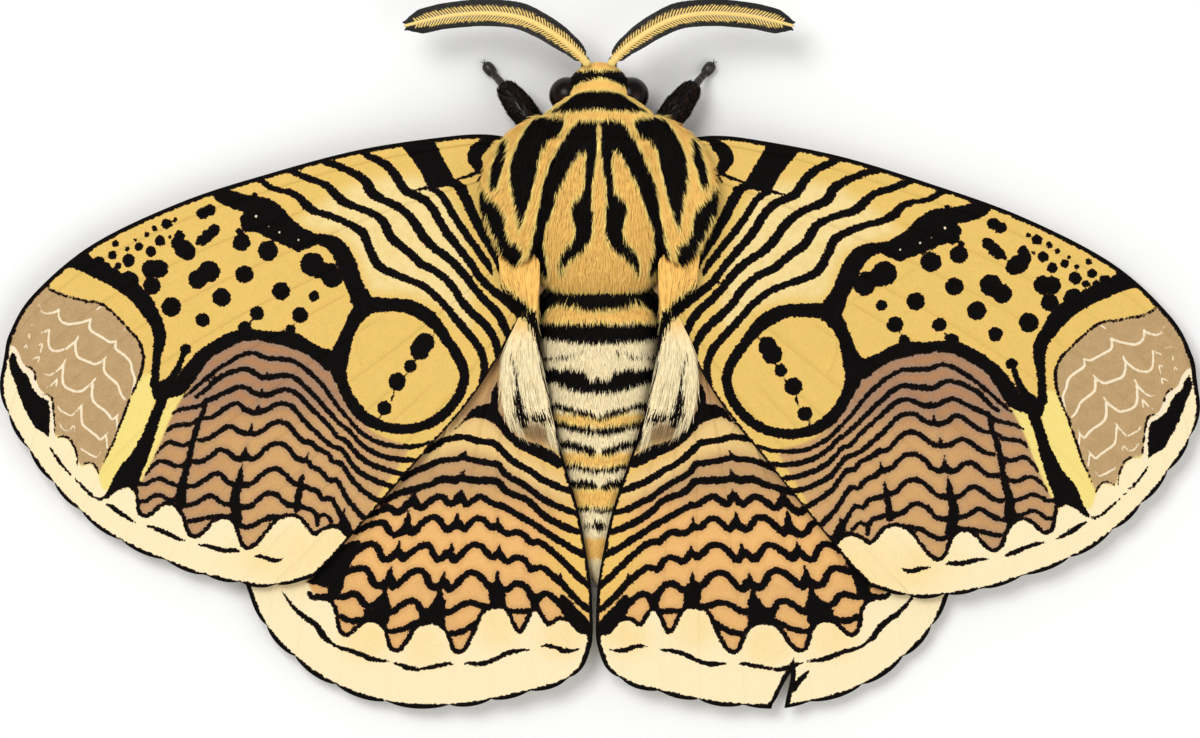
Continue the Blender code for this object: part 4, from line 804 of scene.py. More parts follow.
def makeScaleGroup():
    # the grain that a wing's scales give its colour, its gloss and the edges of its markings
    group = bpy.data.node_groups.new("wingScales", "ShaderNodeTree")
    group.interface.new_socket(name="Place", in_out="INPUT", socket_type="NodeSocketVector")
    for name in ("Ink", "Pale", "Raggedness"):
        group.interface.new_socket(name=name, in_out="INPUT", socket_type="NodeSocketFloat")
    for name in ("Cloud", "Mottle", "Grain", "Edge", "Pale", "Roughness", "Height"):
        group.interface.new_socket(name=name, in_out="OUTPUT", socket_type="NodeSocketFloat")
    given = group.nodes.new("NodeGroupInput").outputs
    result = group.nodes.new("NodeGroupOutput").inputs
    fine = noiseOf(group, given["Place"], 3200.0, 2.0, 0.7)
    torn = noiseOf(group, given["Place"], 1500.0, 2.0, 0.75)
    scales = noiseOf(group, given["Place"], 9000.0, 1.0)
    ragged = mathNode(group, "ADD", mathNode(group, "MULTIPLY_ADD", torn, 0.7, -0.35),
                      mathNode(group, "MULTIPLY_ADD", fine, 0.3, -0.15))
    ragged = mathNode(group, "MULTIPLY", ragged, given["Raggedness"])
    link(group, noiseOf(group, given["Place"], 160.0, 3.0), result["Cloud"])
    link(group, noiseOf(group, given["Place"], 700.0, 4.0), result["Mottle"])
    link(group, fine, result["Grain"])
    link(group, mathNode(group, "ADD", given["Ink"], ragged), result["Edge"])
    link(group, mathNode(group, "MULTIPLY_ADD", ragged, 0.3, given["Pale"]), result["Pale"])
    link(group, stepNode(group, fine, 0.2, 0.8, 0.66, 0.86), result["Roughness"])
    link(group, mathNode(group, "ADD", mathNode(group, "MULTIPLY", scales, 0.6),
                         mathNode(group, "MULTIPLY", fine, 0.7)), result["Height"])
    return group


scaleGroup = makeScaleGroup()


def makeWingMaterial(name, wing):
    made, tree, shader = newMaterial(name)
    colour = {key: toneColour(found) for key, found in wingColours.items() if isinstance(found, str)}
    brown = {key: toneColour(found) for key, found in wingColours[wing].items()}
    grain = tree.nodes.new("ShaderNodeGroup")
    grain.node_tree = scaleGroup
    link(tree, tree.nodes.new("ShaderNodeTexCoord").outputs["Object"], grain.inputs["Place"])
    link(tree, valueOf(tree, "ink"), grain.inputs["Ink"])
    link(tree, valueOf(tree, "pale"), grain.inputs["Pale"])
    grain.inputs["Raggedness"].default_value = wingFinish["raggedness"]
    mottle, cloud, edge = [grain.outputs[key] for key in ("Mottle", "Cloud", "Edge")]
    # painted shade and light: the brown of the mound is painted greyer beside its lines, as their shade, and
    # paler where it is lit
    lineShade = stepNode(tree, valueOf(tree, "ink"), -0.8, -0.1)
    dark = mixColours(tree, lineShade, brown["brown"], brown["lineShade"])
    light = mixColours(tree, lineShade, brown["tan"], brown["tanLineShade"])
    lit = mathNode(tree, "ADD", valueOf(tree, "light"), mathNode(tree, "MULTIPLY_ADD", cloud, 0.5, -0.25))
    browns = mixColours(tree, stepNode(tree, lit, 0.0, 1.0), dark, light)
    ochres = mixColours(tree, stepNode(tree, mottle, 0.35, 0.68), colour["ochre"], colour["ochreWarm"])
    if wing == "forewing":
        cream = mixColours(tree, stepNode(tree, mottle, 0.4, 0.7), colour["cream"], colour["creamDeep"])
        tip = mixColours(tree, stepNode(tree, mottle, 0.35, 0.65), colour["taupe"], colour["taupeWarm"])
        layers = [("cream", cream), ("tip", tip), ("mound", browns), ("sulphur", colour["sulphur"]),
                  ("paleStrip", colour["sulphur"])]
        ground = ochres
    else:
        layers = [("honey", colour["gold"]), ("cream", colour["rootGold"])]
        ground = browns
    warm = mathNode(tree, "MULTIPLY", valueOf(tree, "glow"), stepNode(tree, cloud, 0.3, 0.7, 0.6, 1.0))
    layers.append(("margin", mixColours(tree, warm, colour["margin"], colour["marginWarm"])))
    for area, paint in layers:
        ground = mixColours(tree, valueOf(tree, area), ground, paint)
    # painted sheen: each scale is painted a little lighter or darker, as if it caught the light differently
    glint = stepNode(tree, grain.outputs["Grain"], 0.3, 0.7)
    paintedSheen = mixColours(tree, glint, (0.25, 0.16, 0.08), (1.0, 0.95, 0.85))
    ground = mixColours(tree, wingFinish["paintedSheen"], ground, paintedSheen, "SOFT_LIGHT")
    # pale lines, then the black drawing, then the pale specks in it
    ground = mixColours(tree, stepNode(tree, grain.outputs["Pale"], -0.04, 0.05), ground, colour["paleLine"])
    black = mixColours(tree, stepNode(tree, edge, 0.02, 0.25), colour["blackEdge"], colour["black"])
    surface = mixColours(tree, stepNode(tree, edge, -0.04, 0.04), ground, black)
    speck = stepNode(tree, valueOf(tree, "speck"), -0.03, 0.06)
    surface = mixColours(tree, speck, surface, colour["paleLine"])
    link(tree, surface, shader.inputs["Base Color"])
    link(tree, grain.outputs["Roughness"], shader.inputs["Roughness"])
    shader.inputs["Specular IOR Level"].default_value = wingFinish["specular"]
    addBump(tree, shader, grain.outputs["Height"], wingFinish["bump"], wingFinish["bumpDepth"])
    return made


def makeForewings():
    uShares, vShares, plan, relief = wingGrid(forewing)
    places = toPixels(*sweptPlan(plan[:, 0], plan[:, 1], "left"))
    ink = wingInk(places, (forewingStripes, forewingBands, moundLines, forewingEdgeMarks), forewingSpots,
                  forewingPatches)
    pale, speck = np.full(len(places), unmarked), np.full(len(places), unmarked)
    for stroke in tipLines.values():
        strokeField(pale, places, stroke, -unmarked)
    roundField(speck, places, barSpecks)
    pixel = drawing["pixel"]
    ink = np.maximum(ink * pixel, edgeInk(forewing, plan))
    values = {"ink": ink, "pale": pale * pixel, "speck": speck * pixel}
    for area, outline in forewingAreas.items():
        soften = 9.0 if area == "cream" else 1.6
        values[area] = smoothStep(-soften, soften, insideField(places, outline, 3))
    # the mound is paler to the rear and inwards, and the margin glows at its middle
    x, y = places.T
    values["light"] = smoothStep(380.0, 445.0, y) * (0.55 + 0.45 * smoothStep(180.0, 300.0, x))
    values["glow"] = smoothStep(60.0, 20.0, np.hypot((x - 315) * 0.5, (y - 555) * 1.3))
    material = makeWingMaterial("forewingScales", "forewing")
    z = forewingHeight(plan[:, 0], plan[:, 1])
    thin, extra = wingShape["thickness"], wingShape["costaThickness"] - wingShape["thickness"]
    thick = thin + extra * (1 - smoothStep(0.0, 0.1, np.tile(vShares, len(uShares))))
    for label, side in sides.items():
        x, y = sweptPlan(plan[:, 0], plan[:, 1], label)
        top = np.stack([x, y, z + thick / 2 + relief], axis=-1)
        bottom = np.stack([x, y, z - thick / 2 + relief * 0.4], axis=-1)
        obj = makeWing("forewingSheet_" + label, side, top, bottom, uShares, vShares, values)
        obj.data.materials.append(material)
        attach(obj, "root")
        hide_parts("forewing_" + label)
    report("forewings")


makeForewings()


# what is drawn on the hindwing, in the same way
hindwingStripes = {
    "stripe1": [
        (425, 451, 3.5), (436, 445, 3.5), (446, 439.5, 3.4), (456, 437.5, 3.4), (466, 437, 3.4),
        (476, 440, 3.4), (486, 441.5, 3.4), (495, 443, 3.6), (502, 450, 3.8), (510, 458, 3.8),
        (519, 464.5, 3.6), (530, 470.5, 3.6), (540, 477.5, 3.8), (550, 482.5, 3.8), (560, 487, 3.8),
        (569, 490.5, 3), (574, 492, 3)],
    "stripe2": [
        (403, 478, 3.4), (416, 471, 3.5), (428, 466, 3.5), (437, 462, 3.4), (447, 459.5, 3.2),
        (457, 459, 3.2), (463, 457, 3.2), (471, 459.5, 3.2), (482, 461.5, 3.4), (492, 463, 3.4),
        (498, 464, 3.6), (503, 471, 3.6), (511, 477.5, 3.6), (521, 482.5, 3.6), (531, 489.5, 3.6),
        (541, 497.5, 3.6), (551, 502.5, 3.6), (562, 508, 3.6), (573, 511.5, 3), (580, 514, 3)],
    "stripe3": [
        (381, 502, 3), (392, 497, 3.4), (400, 493, 4), (412, 490, 4), (424, 486, 3.2), (432, 484, 3.4),
        (440, 479.5, 3.8), (448, 479, 4.2), (456, 480, 4.2), (461, 478, 4), (469, 479.5, 4), (480, 480, 4),
        (491, 480.5, 4), (499, 482, 4), (505, 489.5, 3.8), (513, 494, 3.6), (522, 497, 3.6),
        (530, 501.5, 3.6), (538, 509.5, 3.8), (547, 517, 3.8), (557, 522.5, 3.8), (567, 527.5, 3.8),
        (578, 531, 3.4), (587, 534, 3)],
    "stripe4": [
        (366, 516.5, 3.2), (377, 512, 3.4), (385, 508.5, 3.8), (391, 508, 4), (396, 512.5, 3.8),
        (402, 510, 3.8), (409, 503.5, 4.4), (414, 499, 4.4), (418, 507, 4), (424, 506, 3.6),
        (431, 500.5, 3.6), (438, 496.5, 3.5), (444, 498, 3.6), (450, 504, 3.6), (456, 501, 4),
        (461, 496, 4.4), (466, 504, 3.6), (473, 500, 3.4), (480, 496, 3.3), (487, 499, 3.4), (494, 504, 3.4),
        (501, 505, 3.6), (508, 508.5, 3.6), (517, 514, 3.6), (526, 519, 3.6), (536, 525, 3.6),
        (546, 532, 3.6), (556, 538, 3.8), (566, 544.5, 3.8), (576, 550.5, 3.8), (588, 557, 3.4)],
    "stripe5": [
        (355, 532, 3), (366, 527, 3.2), (373, 524, 3.6), (381, 522.5, 3.6), (386, 525, 3.8), (390, 532, 3.8),
        (396, 534.5, 3.6), (402, 531.5, 4.4), (408, 527, 5), (411, 533, 3.8), (417, 528.5, 3.6),
        (424, 521.5, 3.6), (431, 517.5, 3.5), (438, 518, 3.6), (443, 525, 3.8), (447, 529.5, 3.8),
        (453, 526.5, 4.2), (458, 523, 4.6), (464, 529, 3.4), (471, 522, 3.3), (478, 518, 3.3),
        (485, 520.5, 3.4), (491, 527, 3.6), (498, 526, 3.8), (503, 531.5, 3.6), (510, 533, 3.5),
        (518, 531.5, 3.5), (525, 535.5, 3.5), (531, 541.5, 3.8), (538, 541.5, 3.6), (545, 545, 3.6),
        (552, 551, 3.6), (560, 558, 3.6), (568, 566, 3.7), (577, 575, 3.7), (586, 583, 3.4), (593, 589, 3)],
    "stripe6": [
        (342, 556, 3.4), (353, 553, 3.4), (360, 548.5, 3.6), (367, 544.5, 3.6), (374, 544.5, 3.7),
        (379, 550, 3.8), (382, 557.5, 3.8), (387, 559.5, 3.6), (393, 556, 4), (399, 552, 4.6),
        (402, 558.5, 3.8), (408, 555, 3.6), (415, 549.5, 3.5), (422, 545.5, 3.5), (429, 545.5, 3.6),
        (433, 552, 3.8), (437, 559, 3.8), (443, 557, 3.8), (449, 552.5, 4.2), (454, 560, 3.8),
        (460, 555.5, 3.5), (467, 548, 3.4), (474, 544.5, 3.3), (481, 545.5, 3.4), (487, 552, 3.6),
        (492, 556.5, 3.8), (499, 553.5, 4.2), (504, 559.5, 3.7), (509, 561, 3.5), (514, 558, 3.4),
        (520, 557, 3.3), (526, 561, 3.5), (531, 568.5, 3.8), (536, 568, 3.6), (542, 567, 3.4),
        (548, 571, 3.6), (555, 577, 3.9), (562, 583, 3.6), (569, 591, 3.7), (577, 599.5, 3.7),
        (585, 606.5, 3.5), (594, 612, 3)],
    "stripe7": [
        (345, 573, 3.4), (351, 570.5, 3.6), (358, 568.5, 3.6), (365, 569, 3.7), (370, 574.5, 3.8),
        (373, 582.5, 4), (379, 585.5, 3.8), (386, 583, 4.4), (391, 580, 5), (392, 586.5, 3.8),
        (398, 584, 3.6), (405, 577.5, 3.6), (412, 572, 3.5), (420, 570.5, 3.6), (426, 575, 3.8),
        (429, 583, 4), (434, 587.5, 3.8), (441, 585, 4.6), (446, 583, 4.4), (448, 589, 3.7), (454, 587, 3.5),
        (460, 580, 3.4), (467, 573.5, 3.3), (474, 572.5, 3.3), (481, 576.5, 3.5), (486, 583.5, 3.7),
        (491, 586.5, 3.7), (497, 584, 4), (502, 588.5, 3.6), (508, 589, 3.5), (513, 584.5, 3.4),
        (519, 583, 3.4), (525, 586, 3.6), (530, 592.5, 3.8), (533, 600, 4)],
    "stripe7b": [
        (536, 602, 4), (541, 595.5, 3.6), (547, 593.5, 3.4), (553, 597, 3.6), (559, 602, 4), (564, 601, 4.5)],
    "stripe8": [
        (338, 597, 3.6), (345, 596.5, 3.6), (352, 594, 3.5), (359, 596.5, 3.7), (363, 603, 3.8),
        (369, 606.5, 3.8), (376, 604.5, 4.2), (383, 600, 5.5), (386, 608, 5)],
    "stripe8b": [
        (388, 612, 4), (394, 611, 3.6), (401, 605.5, 3.5), (409, 601, 3.4), (416, 602, 3.6),
        (420, 608.5, 3.8), (426, 611.5, 3.8), (433, 609, 4.8), (440, 603, 6)],
    "stripe8c": [
        (444, 612, 4), (450, 611.5, 3.5), (457, 607.5, 3.3), (465, 603.5, 3.2), (473, 602.5, 3.3),
        (481, 605.5, 3.6), (489, 607, 4)],
    "cornerWedge": [
        (563, 597, 3), (566, 606, 7), (573, 615, 8), (580, 622, 8), (586, 628, 6.5), (591, 633, 4)],
    # darkCorner and darkCorner2 are black that is partly the hindwing's own marking and partly painted shadow
    # of the forewing
    "darkCorner": [
        (352, 552, 5), (344, 562, 7), (338, 575, 8), (335, 588, 7), (330, 597, 5), (320, 597, 3.2),
        (312, 597, 3), (308, 592, 2)],
    "darkCorner2": [
        (358, 543, 3), (348, 551, 8), (335, 565, 11), (326, 576, 11), (317, 580, 5), (308, 582, 2)],
    "spike1": [(466.5, 450.5, 0.8), (463, 456, 3.4)],
    "spike2": [(465, 469.5, 0.8), (461, 477, 3.8)],
    "spike3": [(415.5, 491, 0.7), (414, 498, 3)],
    "spike4": [(461.5, 489, 0.7), (461, 495, 3)],
    "spike5": [(409, 511, 0.8), (408, 519, 3.4), (407, 526, 4.5)],
    "spike6": [(458, 512, 0.8), (457, 520, 3.6)],
    "spike7": [(498.5, 517, 0.7), (498, 523, 2.8)],
    "spike8": [(399.5, 541, 0.7), (398, 549, 3.2)],
    "spike9": [(452, 543.5, 0.8), (451, 549, 3)],
    "spike10": [(499.5, 545, 0.7), (499, 551, 2.8)],
    "spike11": [(561, 573, 0.8), (560, 578, 2.8)],
    "spike12": [(391.5, 566, 0.7), (390, 573, 3), (389, 579, 4.5)],
    "spike13": [(444.5, 572, 0.8), (443, 580, 3.6)],
    "spike14": [(498, 571, 0.7), (497.5, 578, 2.6), (497, 590, 4.5), (497, 600, 6.5)],
    "spike15": [(385.5, 584, 0.8), (385, 592, 3), (384, 600, 4.5), (383, 610, 7), (383, 618, 7)],
    "spike16": [(440.5, 587, 0.8), (440, 596, 3.6), (438, 606, 7), (438, 616, 7.5)],
    "teeth": [
        (320, 597, 2.4), (328, 600, 2.4), (334, 606, 2.4), (337, 615, 2.4), (338, 625, 2.4), (341, 632, 2.4),
        (346, 635, 2.4), (352, 632, 2.4), (357, 627, 2.4), (363, 622, 2.4), (370, 620.5, 2.4),
        (378, 622, 2.4), (384, 628, 2.4), (387, 636, 2.4), (389, 645, 2.4), (393, 650, 2.4), (399, 650, 2.4),
        (404, 645, 2.4), (409, 637, 2.4), (414, 629, 2.4), (420, 624.5, 2.4), (428, 622.5, 2.4),
        (436, 623, 2.4), (443, 627, 2.4), (448, 634, 2.4), (451, 643, 2.4), (454, 650, 2.4), (459, 652, 2.4),
        (465, 648, 2.4), (470, 639, 2.4), (475, 628, 2.4), (479, 618, 2.4), (484, 610, 2.4),
        (490, 606.5, 2.4), (498, 606, 2.4), (505, 608, 2.4), (510, 615, 2.4), (514, 624, 2.4),
        (518, 631, 2.4), (521, 631, 2.4), (525, 624, 2.4), (529, 615, 2.4), (533, 609, 2.4),
        (538, 609.5, 2.4), (542, 615, 2.4), (547, 623, 2.4), (550, 624, 2.4), (555, 620, 2.4),
        (561, 618, 2.4), (568, 619, 2.4), (575, 626, 2.4), (581, 632, 2.4), (587, 632, 2.4), (592, 628, 2.4)],
    "innerTooth1": [(341, 617, 3.5), (350, 621, 3.5), (362, 620, 3.5), (372, 616, 3.5)],
    "innerTooth2": [(388, 632, 3), (400, 630, 3), (412, 625, 3), (425, 618, 3)],
    "innerTooth3": [(450, 634, 3.2), (460, 632, 3.2), (470, 627, 3.2), (477, 622, 3.2)],
    "innerTooth4": [(508, 611, 3), (530, 611, 3)],
}
hindwingEdgeMarks = {
    "dash1": [
        (281, 591, 0.8), (286, 598, 1.5), (293, 607, 2), (300, 614, 2.6), (310, 621, 3), (318, 628, 3.2),
        (324, 637, 3.2), (330, 642, 2), (335, 646, 1.5), (343, 649, 2.2), (352, 651.5, 2.4), (360, 654, 2.6),
        (368, 658, 2.8), (376, 660, 2.4), (384, 661, 1.8), (389, 661.5, 0.6)],
    "dash2": [
        (393, 663, 0.6), (400, 665, 2), (408, 668, 2.4), (416, 669.5, 2.4), (423, 668.5, 1.6),
        (430, 667.5, 2), (440, 665.5, 2.2), (448, 663.5, 2), (453, 664, 0.6)],
    "dash3": [
        (463, 664, 0.6), (470, 663.5, 2), (480, 664, 2.6), (488, 662, 2.4), (496, 659, 2.2),
        (504, 654.5, 2.4), (513, 651.5, 2.4), (522, 650, 1.8), (529, 649.5, 0.6)],
    "dash4": [
        (541, 646, 0.6), (547, 645.5, 2), (555, 647, 2.2), (563, 650, 2.6), (571, 650.5, 2.2),
        (579, 649, 0.6)],
}
hindwingPatches = {
    "root": [
        (447, 434), (455, 428), (463, 421), (468, 414), (472, 409), (480, 405), (490, 403), (492, 392),
        (497, 382), (499, 395), (499, 410), (503, 418), (509, 427), (517, 436), (528, 441), (540, 444),
        (552, 450), (560, 456), (567, 463), (572, 472), (566, 467), (557, 468), (545, 461), (532, 455),
        (520, 449), (508, 440), (500, 430), (494, 423), (485, 419), (475, 417), (466, 421), (457, 428)],
    "toothFill1": [(363, 609), (386, 608), (388, 632), (378, 622), (364, 622)],
    "toothFill2": [(418, 609), (444, 610), (446, 628), (436, 623), (420, 625)],
    "toothFill3": [(488, 588), (506, 588), (506, 609), (490, 609)],
    "toothFill4": [(529, 590), (538, 593), (540, 610), (531, 611)],
}
hindwingAreas = {
    "margin": [
        (240, 540), (284, 556), (302, 572), (312, 592), (322, 598), (334, 606), (338, 625), (346, 635),
        (357, 627), (370, 620.5), (384, 628), (389, 645), (396, 651), (404, 645), (414, 629), (428, 622.5),
        (443, 627), (451, 643), (459, 652), (470, 639), (479, 618), (490, 606.5), (505, 608), (514, 624),
        (519.5, 631), (525, 624), (533, 609), (542, 615), (549, 624), (561, 618), (575, 626), (584, 632),
        (592, 628), (612, 640), (612, 760), (230, 760)],
    "honey": [(470, 440), (500, 455), (560, 500), (540, 560), (560, 600), (620, 640), (620, 440), (560, 440)],
    "cream": [
        (440, 430), (470, 416), (490, 420), (520, 450), (575, 485), (565, 500), (520, 478), (495, 458),
        (460, 452), (425, 462)],
}
marginCrests = ((366, 640), (425, 645), (496, 628), (562, 636), (295, 568))  # where the margin glows
# the slit torn in the right hindwing: its outline on the drawing, and the black edges drawn round it
tear = {
    "outline": [(767, 722), (773, 704), (777.5, 697), (780.5, 690.5), (784.5, 683), (790.5, 673), (791, 676),
                (789.5, 685), (787.5, 693), (786, 700), (784.5, 708), (783, 722)],
    "edges": {"left": [(768, 711, 3), (773, 703, 3.2), (777.5, 694.5, 3.2), (782, 685, 3.2),
                       (788, 674.5, 3.6), (794, 659, 0.6)],
              "right": [(785, 712, 3.2), (787, 702, 3.4), (789, 693, 3.6), (791.5, 683, 3.6), (792, 674, 4),
                        (794, 659, 0.6)],
              "fold": [(809, 671, 1.2), (801.5, 679, 3), (793, 689, 3.4)]},
}


def cutTear(wing):
    # a wedge of the slit's outline, taken out of the sheet
    bpy.ops.object.select_all(action="DESELECT")
    bpy.ops.mesh.primitive_circle_add(vertices=len(tear["outline"]), fill_type="NGON", radius=0.01)
    wedge = bpy.context.object
    bpy.ops.object.transform_apply(location=True, rotation=True, scale=True)
    for vertex, (px, py) in zip(wedge.data.vertices, reversed(tear["outline"])):
        vertex.co = ((px - drawing["middleX"]) * drawing["pixel"] * mm,
                     (drawing["middleY"] - py) * drawing["pixel"] * mm, -0.002)
    bpy.ops.object.mode_set(mode="EDIT")
    bpy.ops.mesh.select_all(action="SELECT")
    bpy.ops.mesh.extrude_region_move(TRANSFORM_OT_translate={"value": (0.0, 0.0, 0.014)})
    bpy.ops.mesh.select_all(action="SELECT")
    bpy.ops.mesh.normals_make_consistent(inside=False)
    bpy.ops.object.mode_set(mode="OBJECT")
    wedge.data.uv_layers[0].name = "OFBake"
    bpy.ops.object.select_all(action="DESELECT")
    bpy.context.view_layer.objects.active = wing
    slit = wing.modifiers.new("Tear", "BOOLEAN")
    slit.operation = "DIFFERENCE"
    slit.solver = "EXACT"
    slit.object = wedge
    bpy.ops.object.modifier_apply(modifier=slit.name)
    bpy.data.objects.remove(wedge)


def hindwingShift(plan):
    # how far the hindwings' rear halves are drawn to one side
    return wingShape["shift"] * (1 - smoothStep(8.0, 40.0, plan[:, 0])) * smoothStep(5.0, -36.0, plan[:, 1])


def hindwingValues(plan, torn):
    # what is drawn at each place in plan; the wing's rear half is shifted in the drawing
    shift = hindwingShift(plan)
    places = toPixels(plan[:, 0] - shift, plan[:, 1])
    ink = wingInk(places, (hindwingStripes, hindwingEdgeMarks), (), hindwingPatches)
    if torn:
        straightX = drawing["middleX"] + (plan[:, 0] + shift) / drawing["pixel"]
        for stroke in tear["edges"].values():
            strokeField(ink, np.stack([straightX, places[:, 1]], axis=-1), stroke)
    ink = np.maximum(ink * drawing["pixel"], edgeInk(hindwing, plan))
    values = {"ink": ink, "pale": np.full(len(ink), unmarked), "speck": np.full(len(ink), unmarked)}
    for area, (low, high) in {"margin": (-1.6, 1.6), "honey": (-16.0, 30.0), "cream": (-8.0, 10.0)}.items():
        values[area] = smoothStep(low, high, insideField(places, hindwingAreas[area], 3))
    x, y = places.T
    values["light"] = smoothStep(465.0, 535.0, y) - 0.3 * smoothStep(550.0, 590.0, y)
    crest = np.min([np.hypot((x - cx) * 0.9, y - cy) for cx, cy in marginCrests], axis=0)
    values["glow"] = smoothStep(34.0, 8.0, crest)
    return values


def makeHindwings():
    uShares, vShares, plan, relief = wingGrid(hindwing)
    material = makeWingMaterial("hindwingScales", "hindwing")
    z = hindwingHeight(plan[:, 0], plan[:, 1])
    for label, side in sides.items():
        x = plan[:, 0] + side * hindwingShift(plan)
        top = np.stack([x, plan[:, 1], z + wingShape["thickness"] / 2 + relief], axis=-1)
        bottom = top - [0.0, 0.0, 1.0] * (wingShape["thickness"] + relief * 0.6)[:, None]
        obj = makeWing("hindwingSheet_" + label, side, top, bottom, uShares, vShares, {})
        if label == "right":
            cutTear(obj)
        places = vertexPlaces(obj.data)[:, :2] * (side, 1.0)
        places[:, 0] -= side * hindwingShift(places)
        addValues(obj.data, hindwingValues(places, label == "right"))
        obj.data.materials.clear()
        obj.data.materials.append(material)
        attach(obj, "root")
        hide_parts("hindwing_" + label)
    report("hindwings")


makeHindwings()


# the body's stations, as the frame's solids have them: forward place, half width, half height, height
thoraxStations = [
    (37.0, 0.0, 0.0, 9.0), (36.0, 4.6, 3.0, 9.1), (34.0, 8.6, 5.4, 9.2), (30.0, 11.3, 6.8, 9.2),
    (24.0, 12.2, 7.3, 9.1), (18.0, 11.6, 7.0, 8.9), (13.0, 10.0, 6.0, 8.3), (10.0, 8.3, 4.7, 7.6),
    (8.6, 5.5, 3.0, 7.2), (8.2, 0.0, 0.0, 7.1)]
collarStations = [
    (40.9, 0.0, 0.0, 11.2), (40.3, 2.8, 1.4, 11.1), (38.8, 5.6, 2.6, 10.8), (36.8, 8.1, 3.7, 10.6),
    (34.8, 9.3, 4.6, 10.6), (32.6, 8.6, 4.4, 10.6), (31.4, 0.0, 0.0, 10.6)]
headStations = [
    (44.3, 0.0, 0.0, 7.6), (44.0, 1.9, 1.9, 7.6), (42.6, 3.9, 3.5, 7.4), (40.6, 5.3, 4.5, 7.2),
    (38.2, 5.6, 4.7, 7.2), (36.0, 4.6, 4.0, 7.4), (34.6, 0.0, 0.0, 7.6)]
# shoulder flap: forward place, how far out, half width, half height, height
tegulaStations = [
    (36.6, 8.6, 0.0, 0.0, 11.3), (35.8, 8.9, 1.5, 0.7, 11.4), (34.4, 9.8, 2.9, 1.1, 11.6),
    (32.4, 11.1, 3.9, 1.3, 11.8), (29.5, 12.4, 4.6, 1.4, 12.0), (26.0, 13.1, 4.9, 1.4, 12.0),
    (22.0, 13.1, 4.8, 1.4, 12.0), (18.5, 12.5, 4.2, 1.3, 12.0), (15.8, 12.0, 3.1, 1.1, 11.9),
    (14.4, 11.8, 1.6, 0.7, 11.8), (13.8, 11.8, 0.0, 0.0, 11.8)]
# how deep the skin lies under the frame's surface, its grid in metres, and how far the flaps roll outwards
skinShape = {"coatDepth": {"thorax": 1.0, "collar": 0.8, "head": 0.55, "abdomen": 0.55, "tegula": 0.4},
             "voxel": 0.00036, "smoothing": 12, "bump": 0.6, "bumpDepth": 0.0002, "tegulaRoll": 14.0}

# the body is drawn a little askew, so its pattern is folded about a slanting middle line
bodyAxis = {"place": 603.5, "lean": -10.5 / 455.0, "from": 110.0}
bodyStrokes = {
    "tegulaStripe": [
        (510, 143, 1.5), (507, 150, 3.5), (505, 160, 4.8), (501, 170, 4.8), (499, 180, 4.4), (498, 187, 3.8)],
    "thinRing": [(543, 355, 2), (550, 358.5, 1.4), (560, 358.5, 1.3), (572, 355.5, 1), (583, 352, 0.5)],
    "ring4": [(546, 403, 3), (558, 406.5, 3), (572, 411, 3), (585, 414, 3), (593, 417.5, 2.2), (597, 419, 1)],
    "ring5": [(548, 420, 2.6), (562, 425, 3), (575, 429, 3.5), (590, 431.5, 3.5), (606, 431.5, 3.5)],
    "ring6": [(556, 442, 3.2), (570, 445.5, 3.8), (580, 448.5, 4), (588, 451.5, 4), (591, 452.5, 3)],
    "ring7": [(562, 463, 2), (578, 468.5, 2.3), (590, 470.5, 2.5), (606, 471, 2.5)],
    "ring9": [(573, 505, 1.5), (586, 509.5, 2.3), (596, 511.5, 2.5), (606, 511, 2.5)],
    "tailSpot": [(592, 524, 3), (595, 528, 4.5), (600, 527, 4), (606, 528, 3)],
    "tailSide": [(578, 520, 3), (585, 526, 3.2), (587, 534, 2)],
    "rootLine": [(526, 289, 0.6), (531, 284, 1.2), (537, 279, 1.4)],
}
